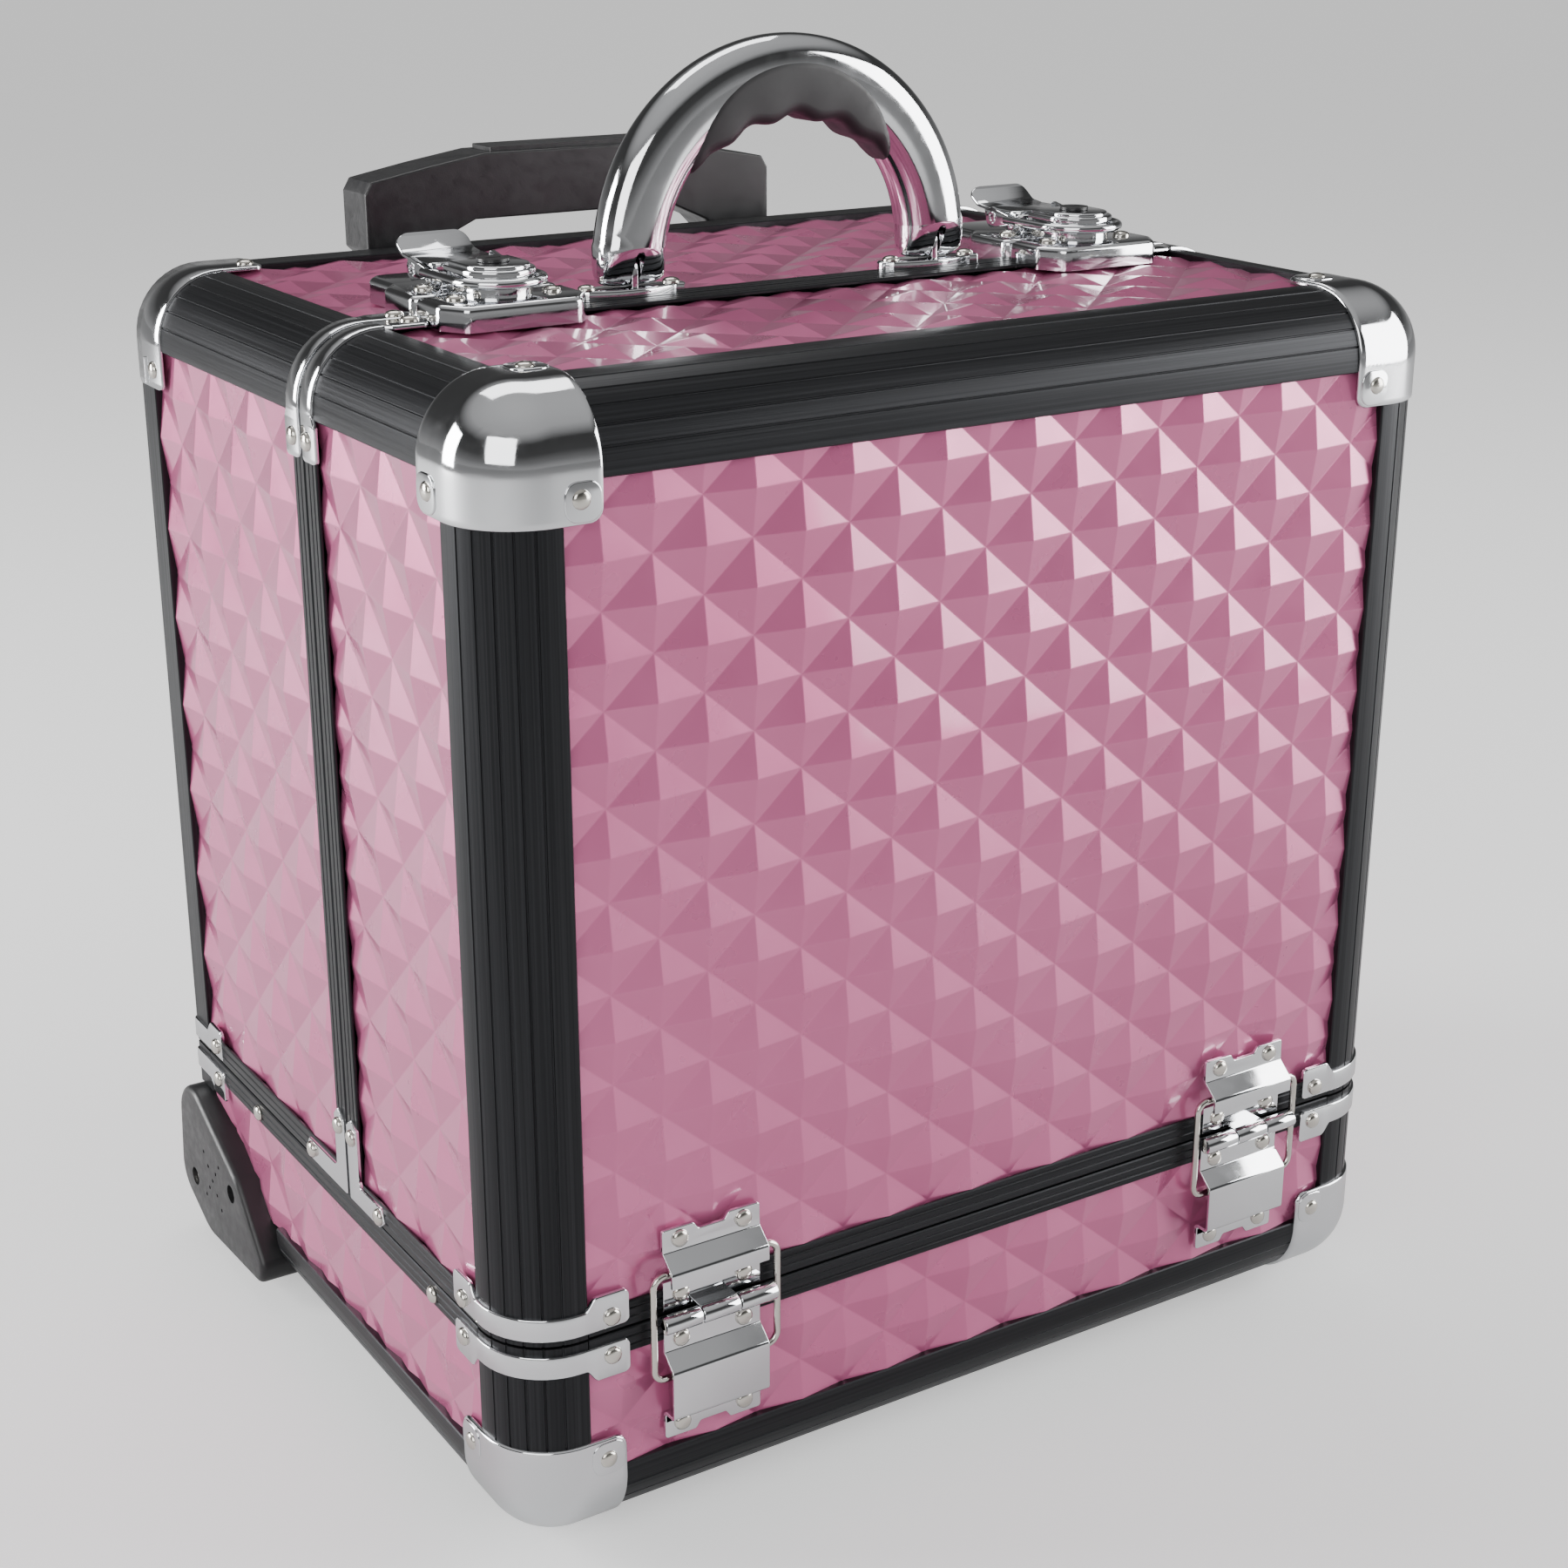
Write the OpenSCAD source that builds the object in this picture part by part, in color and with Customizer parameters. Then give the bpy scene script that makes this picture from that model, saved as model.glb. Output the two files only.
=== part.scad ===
// Makeup train case on wheels: a diamond-embossed box in aluminium profiles.
// The front half swings down on two surface hinges, trays slide out of the rear half,
// and a two-stage trolley handle stands on the back.
// X is the width, Y runs from front to back, Z is up, and Z = 0 is the floor.

/* [Case] */
// Width of the box
case_w = 420; // [390:5:450]
// Depth of the box
case_d = 315; // [305:5:330]
// Height of the box, without its feet
case_h = 432; // [420:1:450]
// Height of the base compartment, up to the middle of the seam
base_h = 87.5; // [84:0.5:92]
// Depth of the front half, up to the middle of the upright seam
front_d = 143; // [140:1:146]
// Height of the rubber feet
feet_h = 8; // [7:0.5:9]

/* [Profiles] */
// Width of a rounded edge profile on each face
edge_w = 30; // [29:0.5:32]
// Radius of the rounded edges
edge_r = 27; // [25:0.5:28]
// Thickness of the aluminium
skin = 1.2; // [1:0.1:1.2]
// Height of the seam rim
rim_h = 10; // [9:0.5:11]
// Depth of the seam rim, from the face inwards
rim_d = 11; // [10:0.5:12]
// Width of the flat angles on the rear edges
angle_w = 15; // [12:1:18]
// Gap between the parts of the case at a seam
seam_gap = 1; // [0.8:0.1:1.2]

/* [Boards] */
// Thickness of the boards
board_t = 4; // [3:0.5:5]
// How far a board's face lies below the profile's face
board_in = 1.3; // [1.2:0.1:1.5]

/* [Hardware] */
// Thickness of the pressed brackets and corners
plate_t = 1.2; // [1:0.1:1.4]
// Radius of a rivet head
rivet_r = 3.5; // [3:0.1:3.8]
// Distance of the front hinges from the middle
hinge_x = 129; // [120:1:135]
// Width of a front hinge plate
hinge_w = 41.5; // [38:0.5:44]
// Radius of the front hinge barrels
barrel_r = 3.5; // [3.2:0.1:3.8]
// Distance of the latches from the middle
latch_x = 134; // [128:1:138]

/* [Handles] */
// Radius of the carry handle's middle line
handle_r = 70; // [66:1:72]
// Width of the trolley grip
grip_w = 203; // [190:1:215]
// Distance of each trolley tube from the middle
tube_x = 88; // [84:1:90]
// Travel of each trolley stage
stage_travel = 270; // [200:5:280]

/* [Wheels] */
// Radius of the wheels
wheel_r = 30; // [28:0.5:30]
// Width of the wheels
wheel_w = 18; // [14:1:18]
// How far a wheel housing stands proud of the side
housing_out = 8; // [7:0.5:9]

/* [Trays] */
// Number of trays
tray_count = 3; // [3:1:3]
// Height of a tray
tray_h = 78; // [60:1:84]
// Travel of a tray
tray_travel = 108; // [80:1:110]

/* [Hidden] */
$fn = 48;

// Colours
pink = [0.80, 0.50, 0.63];
black_metal = [0.16, 0.16, 0.17];
chrome = [0.80, 0.81, 0.83];
nickel = [0.74, 0.71, 0.64];
black_plastic = [0.09, 0.09, 0.10];
grey_tray = [0.13, 0.13, 0.14];

// Planes of the box
half_w = case_w / 2;
grip_back = 37;
barrel_out = 6.5;
front_reach = barrel_out + barrel_r;
y_front = -(front_reach + case_d + grip_back) / 2 + front_reach;
y_back = y_front + case_d;
y_seam = y_front + front_d;
z_base = feet_h;
z_seam = z_base + base_h;
z_top = z_base + case_h;
half_gap = seam_gap / 2;
board_far = board_in + board_t;
groove_r = 0.45;
leaf_t = 1.4;
joint = 0.05;
top_reach = 45.5;

// Front hinges: heights are measured from the barrel
stay_top = 19;
stay_bottom = -24;
stay_wire_r = 1.35;
stay_out = 4;
stay_half_w = 26.5;

// Latches: lengths are measured from the seam, heights from the plate's top
latch_top = z_top + 8;
lever_y = y_seam + 16;
lever_z = 3.8;
bail_y = y_seam + 29;
bail_z = 5.5;
bail_r = 1.8;
bail_x = 17;
nose_r = 13;
nose_y = y_seam - 6.5;

// Carry handle
handle_y = y_seam + 10;
pivot_up = 9.6;
handle_swing = 60;
leg_z = z_top + 10;
grip_sector = 52;

// Trolley
trolley_y = y_back + 24;
outer_tube = [24, 16];
middle_tube = [19.6, 11.6];
inner_tube = [15.2, 7.2];
tube_wall = 1.5;
tube_bottom = z_base + 78;
tube_top = z_top - 16;
grip_depth = 25;
button_w = 80;

// Wheels
wheel_y = y_back - 22;
wheel_x = half_w - 6;
well_r = wheel_r + 2.2;
hub_r = wheel_r - 9;
well_w = wheel_w + 4;
axle_r = 4;
running = 0.05;

// Trays
tray_w = 378;
tray_front = y_seam + 5;
tray_back = y_back - 12;
tray_pitch = 104;
tray_first = z_seam + 22;
tray_wall = 2;

module mirrored_x() {
  children();
  mirror([1, 0, 0]) children();
}

// Waste outside a round corner at the origin
module corner_waste(r) {
  difference() {
    square(r);
    translate([r, r]) circle(r);
  }
}

// Rounded, ribbed edge profile with its outer corner at the origin
module edge_section() {
  difference() {
    square(edge_w);
    corner_waste(edge_r);
    translate([skin, skin]) difference() {
      square(edge_w);
      corner_waste(edge_r - skin);
    }
    for (a = [195:15:255])
      translate([edge_r, edge_r] + edge_r * [cos(a), sin(a)]) circle(groove_r, $fn = 16);
  }
}

// Flat angle for a rear edge
module angle_section() {
  difference() {
    square(angle_w);
    translate([skin, skin]) square(angle_w);
  }
}

// Channel that closes the edge of a board: width across the board, height along it
module rim_section() {
  difference() {
    square([rim_d, rim_h]);
    translate([skin, -skin]) square([rim_d - 2 * skin, rim_h]);
    for (v = [3, 6.5]) translate([0, v]) circle(groove_r, $fn = 16);
  }
}

// Bars of one section along each axis, a hair short at both ends so they stay separate
module run_z(x, y, z0, z1) {
  translate([x, y, z0 + joint]) linear_extrude(z1 - z0 - 2 * joint) children();
}
module run_x(x0, x1, y, z, up = true) {
  translate([x0 + joint, y, z]) mirror([0, 0, up ? 0 : 1]) rotate([90, 0, 90])
    linear_extrude(x1 - x0 - 2 * joint) children();
}
module run_y(x, y0, y1, z, up = true) {
  translate([x, y1 - joint, z]) mirror([0, 0, up ? 0 : 1]) rotate([90, 0, 0])
    linear_extrude(y1 - y0 - 2 * joint) children();
}
module run_top_rim(y) {
  translate([-half_w + edge_w + joint, y, z_top]) rotate([0, 90, 0])
    linear_extrude(case_w - 2 * edge_w - 2 * joint) children();
}

// Rivet head on a face; the head points along +Z before it is placed
module rivet() {
  intersection() {
    cylinder(r = rivet_r, h = 2);
    translate([0, 0, -2.6]) sphere(4.6);
  }
}
module rivet_front(x, z, out = plate_t) {
  translate([x, y_front - out, z]) rotate([90, 0, 0]) rivet();
}
module rivet_side(y, z, out = plate_t) {
  translate([-half_w - out, y, z]) rotate([0, -90, 0]) rivet();
}
module rivet_top(x, y, out = plate_t) {
  translate([x, y, z_top + out]) rivet();
}

// Band that wraps a rounded edge and reaches along both faces
module strap_plan(reach) {
  difference() {
    translate([-plate_t, -plate_t]) square(reach + plate_t);
    translate([-plate_t, -plate_t]) corner_waste(edge_r + plate_t);
    difference() {
      square(reach + 1);
      corner_waste(edge_r);
    }
  }
}

// Band that wraps a square rear edge
module square_strap_plan(reach) {
  difference() {
    translate([-plate_t, -plate_t]) square(reach + plate_t);
    square(reach + 1);
  }
}

// Square prism that ends a ball corner, with its ears rounded
module ear_limit(reach) {
  linear_extrude(200, center = true) offset(5) offset(-5)
    translate([-10, -10]) square(10 + reach);
}

// Pressed ball corner with its box corner at the origin
module ball_corner(reach = 43.5) {
  intersection() {
    union() {
      difference() {
        translate([edge_r, edge_r, edge_r]) sphere(edge_r + plate_t);
        translate([edge_r, edge_r, edge_r]) sphere(edge_r);
        translate([edge_r, -100, -100]) cube(200);
        translate([-100, edge_r, -100]) cube(200);
        translate([-100, -100, edge_r]) cube(200);
      }
      translate([0, 0, edge_r]) linear_extrude(reach - edge_r) strap_plan(reach);
      translate([0, reach, 0]) rotate([90, 0, 0]) linear_extrude(reach - edge_r)
        strap_plan(reach);
      translate([edge_r, 0, 0]) rotate([90, 0, 90]) linear_extrude(reach - edge_r)
        strap_plan(reach);
    }
    ear_limit(reach);
    rotate([90, 0, 0]) ear_limit(reach);
    rotate([90, 0, 90]) ear_limit(reach);
  }
}

// ---- Base ----

module base_front_board() {
  color(pink) translate([-half_w + edge_r, y_front + board_in, z_base + edge_r])
    cube([case_w - 2 * edge_r, board_t, base_h - edge_r - half_gap - 2 * skin]);
}

// Outline of a wheel housing from the side
module housing_outline(grow = 0) {
  translate([y_back, z_base]) hull() {
    translate([-6, 50]) circle(17 + grow);
    translate([-2, 24]) circle(16 + grow);
    translate([-22, 24]) circle(25 + grow);
    translate([-45, 30]) circle(17 + grow);
    translate([-74, 10]) circle(8 + grow);
  }
}
module housing_solid(grow = 0) {
  translate([-half_w - housing_out, 0, 0]) rotate([90, 0, 90])
    linear_extrude(housing_out + 26 + grow) housing_outline(grow);
}

module base_side_boards() {
  color(pink) mirrored_x() difference() {
    translate([-half_w + board_in, y_front + edge_r, z_base + edge_r])
      cube([board_t, case_d - edge_r - board_far, base_h - edge_r - half_gap - 2 * skin]);
    housing_solid(0.2);
  }
}

module base_back_board() {
  color(pink) difference() {
    translate([-half_w + board_far, y_back - board_far, z_base + board_far])
      cube([case_w - 2 * board_far, board_t, base_h - board_far - half_gap - 2 * skin]);
    mirrored_x() translate([-half_w, y_back - 10, 0]) cube([26.5, 12, z_base + 67.5]);
  }
}

module base_floor_board() {
  color(black_plastic) difference() {
    translate([-half_w + edge_r, y_front + edge_r, z_base + board_in])
      cube([case_w - 2 * edge_r, case_d - edge_r - board_far, board_t]);
    mirrored_x() housing_solid(0.2);
  }
}

module base_profiles() {
  z_rim = z_seam - half_gap;
  y_housing = y_back - 82;
  color(black_metal) {
    run_x(-half_w + edge_w, half_w - edge_w, y_front, z_base) edge_section();
    run_x(-half_w + edge_w, half_w - edge_w, y_front, z_rim - rim_h) rim_section();
    translate([0, y_back, 0]) mirror([0, 1, 0])
      run_x(-half_w + angle_w, half_w - angle_w, 0, z_rim - rim_h) rim_section();
    translate([0, y_back, 0]) mirror([0, 1, 0])
      run_x(-half_w + 40, half_w - 40, 0, z_base) angle_section();
    mirrored_x() {
      run_z(-half_w, y_front, z_base + edge_w, z_rim) edge_section();
      run_y(-half_w, y_front + edge_w, y_housing, z_base) edge_section();
      run_y(-half_w, y_front + edge_w, y_back - angle_w, z_rim - rim_h) rim_section();
      difference() {
        translate([0, y_back, 0]) mirror([0, 1, 0]) run_z(-half_w, 0, z_base + 55, z_rim)
          angle_section();
        housing_solid(0.2);
      }
    }
  }
}

module base_ball_corners() {
  color(chrome) mirrored_x() translate([-half_w, y_front, z_base]) ball_corner();
}

// Straps beside the level seam; their ears hang down by drop
module front_seam_strap(z0, drop = 0) {
  translate([-half_w, y_front, z0]) {
    linear_extrude(9) strap_plan(46);
    translate([33, -plate_t, -drop]) cube([13, plate_t, 14]);
    translate([-plate_t, 33, -drop]) cube([plate_t, 13, 14]);
  }
}
module rear_seam_strap(z0, drop = 0) {
  translate([-half_w, y_back, z0]) mirror([0, 1, 0]) {
    linear_extrude(9) square_strap_plan(34);
    translate([-plate_t, 21, -drop]) cube([plate_t, 13, 14]);
  }
}

module base_brackets() {
  color(chrome) mirrored_x() {
    front_seam_strap(z_seam - half_gap - 12, 5);
    rear_seam_strap(z_seam - half_gap - 12, 5);
  }
}

module base_rivets() {
  color(nickel) mirrored_x() {
    rivet_front(-half_w + 39, z_seam - 8.5);
    rivet_side(y_front + 39, z_seam - 8.5);
    rivet_front(-half_w + 36, z_base + 36);
    rivet_side(y_front + 36, z_base + 36);
    rivet_side(y_back - 27, z_seam - 8.5);
    rivet_side(y_back - 72, z_seam - 6, 0);
    rivet_side(y_front + 68, z_seam - 6, 0);
    for (dx = [-13.5, 13.5]) {
      rivet_front(hinge_x + dx, z_seam - 10.5, 1.4);
      rivet_front(hinge_x + dx, z_seam - 46.5, 1.4);
    }
    rivet_top(latch_x - 19.5, y_seam + 15, 8);
    rivet_top(latch_x + 19.5, y_seam + 15, 8);
  }
}

module base_dividers() {
  color(grey_tray) for (x = [-66, 66])
    translate([x - 2, y_front + edge_w, z_base + board_far])
      cube([4, case_d - edge_w - rim_d - 2, 60]);
}

module rubber_feet() {
  color(black_plastic) mirrored_x()
    translate([-half_w + 58, y_front + 58, 0]) difference() {
      union() {
        cylinder(r = 12, h = feet_h - 2);
        translate([0, 0, feet_h - 2]) cylinder(r = 10.5, h = 2 + board_in);
      }
      translate([0, 0, -0.5]) cylinder(r = 4.5, h = 3);
    }
}

// ---- Wheels ----

module wheel_housing() {
  well_x = wheel_x - well_w / 2;
  color(black_plastic) difference() {
    mirror([1, 0, 0]) housing_solid();
    translate([well_x, wheel_y, wheel_r]) rotate([0, 90, 0]) cylinder(r = well_r, h = well_w);
    translate([well_x, wheel_y - well_r, -1]) cube([well_w, 2 * well_r, 12]);
    translate([half_w - 40, wheel_y, wheel_r]) rotate([0, 90, 0])
      cylinder(r = axle_r, h = 46);
    for (p = [[-50, 34], [-4, 22]])
      translate([half_w + housing_out - 2, y_back + p[0], z_base + p[1]]) rotate([0, 90, 0])
        cylinder(r = 4.2, h = 5);
    for (i = [-2:2]) for (s = [-1, 1])
      translate([half_w + housing_out - 1, y_back - 34 + 6 * i, z_base + 30 + 5 * s * i])
        rotate([0, 90, 0]) cylinder(r = 1.1, h = 5, $fn = 16);
  }
}
module wheel_housing_left() { mirror([1, 0, 0]) wheel_housing(); }
module wheel_housing_right() { wheel_housing(); }

module wheel_axles() {
  color(chrome) mirrored_x() translate([half_w - 28, wheel_y, wheel_r]) rotate([0, 90, 0])
    cylinder(r = axle_r, h = 32);
}

module wheel_tyre() {
  color(black_plastic) translate([wheel_x, wheel_y, wheel_r]) rotate([0, 90, 0])
    rotate_extrude($fn = 96) difference() {
      union() {
        translate([hub_r, -wheel_w / 2]) square([wheel_r - hub_r - 4, wheel_w]);
        translate([hub_r, -wheel_w / 2 + 4]) square([wheel_r - hub_r, wheel_w - 8]);
        for (s = [-1, 1]) translate([wheel_r - 4, s * (wheel_w / 2 - 4)]) circle(4);
      }
      for (v = [-2.5, 2.5]) translate([wheel_r, v]) circle(0.7, $fn = 16);
    }
}
module wheel_hub() {
  color(chrome) translate([wheel_x, wheel_y, wheel_r]) rotate([0, 90, 0]) difference() {
    union() {
      cylinder(r = 8.5, h = wheel_w + 1, center = true);
      cylinder(r = hub_r, h = 5, center = true);
      difference() {
        cylinder(r = hub_r, h = wheel_w, center = true);
        cylinder(r = hub_r - 2.5, h = wheel_w + 2, center = true);
      }
    }
    cylinder(r = axle_r + running, h = wheel_w + 4, center = true);
    for (a = [0:60:300]) rotate(a) translate([13.3, 0, 0])
      cylinder(r = 3, h = wheel_w, center = true);
  }
}
module wheel_tyre_left() { mirror([1, 0, 0]) wheel_tyre(); }
module wheel_tyre_right() { wheel_tyre(); }
module wheel_hub_left() { mirror([1, 0, 0]) wheel_hub(); }
module wheel_hub_right() { wheel_hub(); }

// ---- Rear half ----

y_rear = y_seam + half_gap;
z_upper = z_seam + half_gap;

module rear_side_boards() {
  color(pink) mirrored_x()
    translate([-half_w + board_in, y_rear + 2 * skin, z_upper + 2 * skin])
      cube([board_t, y_back - board_far - y_rear - 2 * skin, z_top - edge_r - z_upper - 2 * skin]);
}

module rear_top_board() {
  color(pink) translate([-half_w + edge_r, y_rear + 2 * skin, z_top - board_far])
    cube([case_w - 2 * edge_r, y_back - board_far - y_rear - 2 * skin, board_t]);
}

module rear_back_board() {
  width = case_w - 2 * board_far;
  z_low = z_upper + 2 * skin;
  z_bend = z_top - edge_r;
  color(pink) translate([0, y_back - board_in, 0]) rotate([90, 0, 0]) linear_extrude(board_t) {
    translate([-width / 2, z_low]) square([width, z_bend - z_low]);
    intersection() {
      translate([-width / 2, z_bend]) square([width, 20]);
      hull() for (s = [-1, 1]) translate([s * (half_w - edge_r), z_bend])
        circle(edge_r - skin - 0.3, $fn = 96);
    }
  }
}

module rear_floor_board() {
  color(grey_tray) translate([-half_w + rim_d + 1, y_rear + rim_d + 1, z_upper + 2])
    cube([case_w - 2 * rim_d - 2, y_back - y_rear - 2 * rim_d - 2, board_t]);
}

module rear_profiles() {
  color(black_metal) {
    translate([0, y_back, 0]) mirror([0, 1, 0]) {
      run_x(-half_w + angle_w, half_w - angle_w, 0, z_upper + rim_h, false) rim_section();
      run_x(-half_w + edge_w, half_w - edge_w, 0, z_top, false) angle_section();
    }
    run_top_rim(y_rear) translate([0, rim_h]) mirror([0, 1, 0]) rim_section();
    mirrored_x() {
      run_y(-half_w, y_rear, y_back, z_top, false) edge_section();
      run_y(-half_w, y_rear + rim_h, y_back - angle_w, z_upper + rim_h, false) rim_section();
      run_z(-half_w, y_rear, z_upper, z_top - edge_w)
        translate([0, rim_h]) mirror([0, 1, 0]) rim_section();
      translate([0, y_back, 0]) mirror([0, 1, 0])
        run_z(-half_w, 0, z_upper, z_top - edge_w) angle_section();
    }
  }
}

// Curved strap over a top side edge
module top_strap(y0, width, reach) {
  translate([-half_w, y0 + width, z_top]) mirror([0, 0, 1]) rotate([90, 0, 0])
    linear_extrude(width) strap_plan(reach);
}

// Bracket where the upright seam meets the level seam; it reaches along +Y
module seam_foot(reach) {
  translate([-half_w - plate_t, 0, z_upper]) {
    translate([0, 1, 0]) cube([plate_t, 9, 36]);
    translate([0, 1, 0]) cube([plate_t, reach, 9]);
  }
}

module rear_brackets() {
  color(chrome) mirrored_x() {
    top_strap(y_rear + 1, 10, top_reach);
    top_strap(y_back - 27, 26, top_reach);
    translate([0, y_rear, 0]) seam_foot(42);
    rear_seam_strap(z_upper + 2);
  }
}

module rear_rivets() {
  color(nickel) mirrored_x() {
    rivet_side(y_rear + 6, z_top - 38);
    rivet_top(-half_w + top_reach - 4.8, y_rear + 6);
    rivet_side(y_back - 19, z_top - 38);
    rivet_top(-half_w + top_reach - 4.8, y_back - 19);
    rivet_side(y_rear + 6, z_upper + 29);
    rivet_side(y_rear + 36, z_upper + 5);
    rivet_side(y_back - 27, z_upper + 7);
  }
}

module tray_rails() {
  color(chrome) mirrored_x() for (i = [0:tray_count - 1])
    translate([-half_w + board_far + 0.2, tray_front + 8, tray_first + i * tray_pitch + tray_h - 8])
      cube([14, tray_back - tray_front - 8, 3]);
}

// ---- Front hinges ----

// Knuckles of a front hinge barrel between two stations
module knuckle(x0, x1) {
  translate([x0, y_front - barrel_out, z_seam]) rotate([0, 90, 0])
    cylinder(r = barrel_r, h = x1 - x0);
}
module hinge_bore() {
  translate([-hinge_w, y_front - barrel_out, z_seam]) rotate([0, 90, 0])
    cylinder(r = 1.6, h = 2 * hinge_w);
}
// Notch between the two ears of a plate
module ear_notch(z) {
  translate([-7, y_front - 5, z_seam + z]) cube([14, 10, 4]);
}
// Folded sheet across a hinge: its outline is given as [out from the face, up]
module hinge_fold(outline) {
  translate([-hinge_w / 2, y_front, z_seam]) rotate([90, 0, 90]) linear_extrude(hinge_w)
    polygon(outline);
}

module hinge_lower_plate() {
  difference() {
    union() {
      for (x = [[-24, -8], [8.4, 24]]) {
        knuckle(x[0], x[1]);
        translate([max(x[0], -hinge_w / 2), y_front - barrel_out, z_seam - barrel_r])
          cube([min(x[1], hinge_w / 2) - max(x[0], -hinge_w / 2), barrel_out, 1.2]);
      }
      translate([-hinge_w / 2, y_front - leaf_t, z_seam - 15]) cube([hinge_w, leaf_t, 12.7]);
      hinge_fold([[0, -14.6], [-leaf_t, -14.6], [-8.2, -20.6], [-8.2, -41.4], [0, -41.4],
        [0, -40], [-6.8, -40], [-6.8, -21.2], [0, -16]]);
      translate([-hinge_w / 2, y_front - leaf_t, z_seam - 52]) cube([hinge_w, leaf_t, 11.6]);
    }
    hinge_bore();
    ear_notch(-53);
  }
}
module hinge_lower_plates() {
  color(chrome) mirrored_x() translate([hinge_x, 0, 0]) hinge_lower_plate();
}

module hinge_pins() {
  color(nickel) mirrored_x()
    translate([hinge_x - 24, y_front - barrel_out, z_seam]) rotate([0, 90, 0])
      cylinder(r = 1.55, h = 48);
}

module hinge_upper_plate() {
  difference() {
    union() {
      knuckle(-7.7, 8.1);
      translate([-7.7, y_front - barrel_out, z_seam + barrel_r - 1.2])
        cube([15.8, barrel_out, 1.2]);
      translate([-hinge_w / 2, y_front - leaf_t, z_seam + 2.3]) cube([hinge_w, leaf_t, 11.7]);
      hinge_fold([[0, 25.3], [-6.8, 19.6], [-6.8, 14.6], [-8.2, 14.6], [-8.2, 20],
        [-leaf_t, 26.3], [0, 26.3]]);
      translate([-hinge_w / 2, y_front - leaf_t, z_seam + 25.5]) cube([hinge_w, leaf_t, 10]);
    }
    hinge_bore();
    ear_notch(32);
  }
}
module hinge_upper_plates() {
  color(chrome) mirrored_x() translate([hinge_x, 0, 0]) hinge_upper_plate();
}

// Wire ring that links the two plates of a front hinge
module stay_ring() {
  bend = 4;
  color(nickel) translate([hinge_x, y_front - stay_out, z_seam]) {
    for (z = [stay_top, stay_bottom])
      translate([-stay_half_w + bend, 0, z]) rotate([0, 90, 0])
        cylinder(r = stay_wire_r, h = 2 * (stay_half_w - bend));
    for (s = [-1, 1]) {
      translate([s * stay_half_w, 0, stay_bottom + bend])
        cylinder(r = stay_wire_r, h = stay_top - stay_bottom - 2 * bend);
      for (t = [[stay_top - bend, 0], [stay_bottom + bend, 1]])
        translate([s * (stay_half_w - bend), 0, t[0]]) mirror([s < 0 ? 1 : 0, 0, 0])
          mirror([0, 0, t[1]]) rotate([90, 0, 0])
            rotate_extrude(angle = 90) translate([bend, 0]) circle(stay_wire_r, $fn = 24);
    }
  }
}
module stay_ring_left() { mirror([1, 0, 0]) stay_ring(); }
module stay_ring_right() { stay_ring(); }

// ---- Latches ----

module latch_rear_plan() {
  polygon([[-30, 1], [30, 1], [30, 27], [25, 33], [25, 52], [20, 58], [-20, 58], [-25, 52],
    [-25, 33], [-30, 27]]);
}
module latch_front_plan() {
  polygon([[-30, -1], [30, -1], [30, -19], [23, -30], [-23, -30], [-30, -19]]);
}
// Pressed pan: a flat top with a rim that stands on the case
module pan(h) {
  difference() {
    linear_extrude(h) children();
    translate([0, 0, -1]) linear_extrude(h - 0.6) offset(delta = -1.6) children();
  }
}

module latch_base_plate() {
  difference() {
    union() {
      translate([0, y_seam, z_top]) pan(8) latch_rear_plan();
      for (s = [-1, 1]) translate([s * 11.6 - 1.2, lever_y - 3, latch_top - 0.2])
        cube([2.4, 6, 6.6]);
    }
    translate([-40, lever_y, latch_top + lever_z]) rotate([0, 90, 0]) cylinder(r = 1.55, h = 80);
  }
}
module latch_base_plates() {
  color(chrome) mirrored_x() translate([latch_x, 0, 0]) latch_base_plate();
}

// Lever with a rolled front end round its pin, and an upturned tab behind
module latch_lever() {
  color(chrome) translate([latch_x, 0, latch_top]) difference() {
    union() {
      for (x = [[-10.1, 10.1], [-15, -13.1], [13.1, 15]])
        translate([x[0], lever_y, lever_z]) rotate([0, 90, 0])
          cylinder(r = 3.3, h = x[1] - x[0]);
      translate([-10.1, lever_y, lever_z + 2.1]) cube([20.2, 4, 1.2]);
      translate([-15, lever_y + 2.4, 7.6]) cube([30, 20, 1.4]);
      translate([-10.1, lever_y + 2.4, 5.9]) cube([20.2, 1.6, 2]);
      for (x = [-15, 13.1]) translate([x, lever_y, 0.6]) cube([1.9, 20, 8.2]);
      translate([-15, lever_y + 20, 0]) rotate([90, 0, 90]) linear_extrude(30)
        polygon([[0, 7.6], [6, 8.4], [11, 11], [14, 15], [12.9, 15.6], [10, 12.1],
          [5.4, 9.7], [0, 9]]);
    }
    translate([-20, lever_y, lever_z]) rotate([0, 90, 0]) cylinder(r = 1.55, h = 40);
    translate([-20, bail_y, bail_z]) rotate([0, 90, 0]) cylinder(r = 1.6, h = 40);
  }
  color(nickel) translate([latch_x, 0, latch_top]) {
    translate([-15, lever_y, lever_z]) rotate([0, 90, 0]) cylinder(r = 1.5, h = 30);
    for (s = [-1, 1]) translate([s * 16.5 - 1.5, bail_y, bail_z]) rotate([0, 90, 0])
      difference() {
        cylinder(r = 2.6, h = 3);
        translate([0, 0, -1]) cylinder(r = 1.4, h = 5);
      }
  }
}
module latch_lever_right() { latch_lever(); }
module latch_lever_left() { mirror([1, 0, 0]) latch_lever(); }

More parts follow.
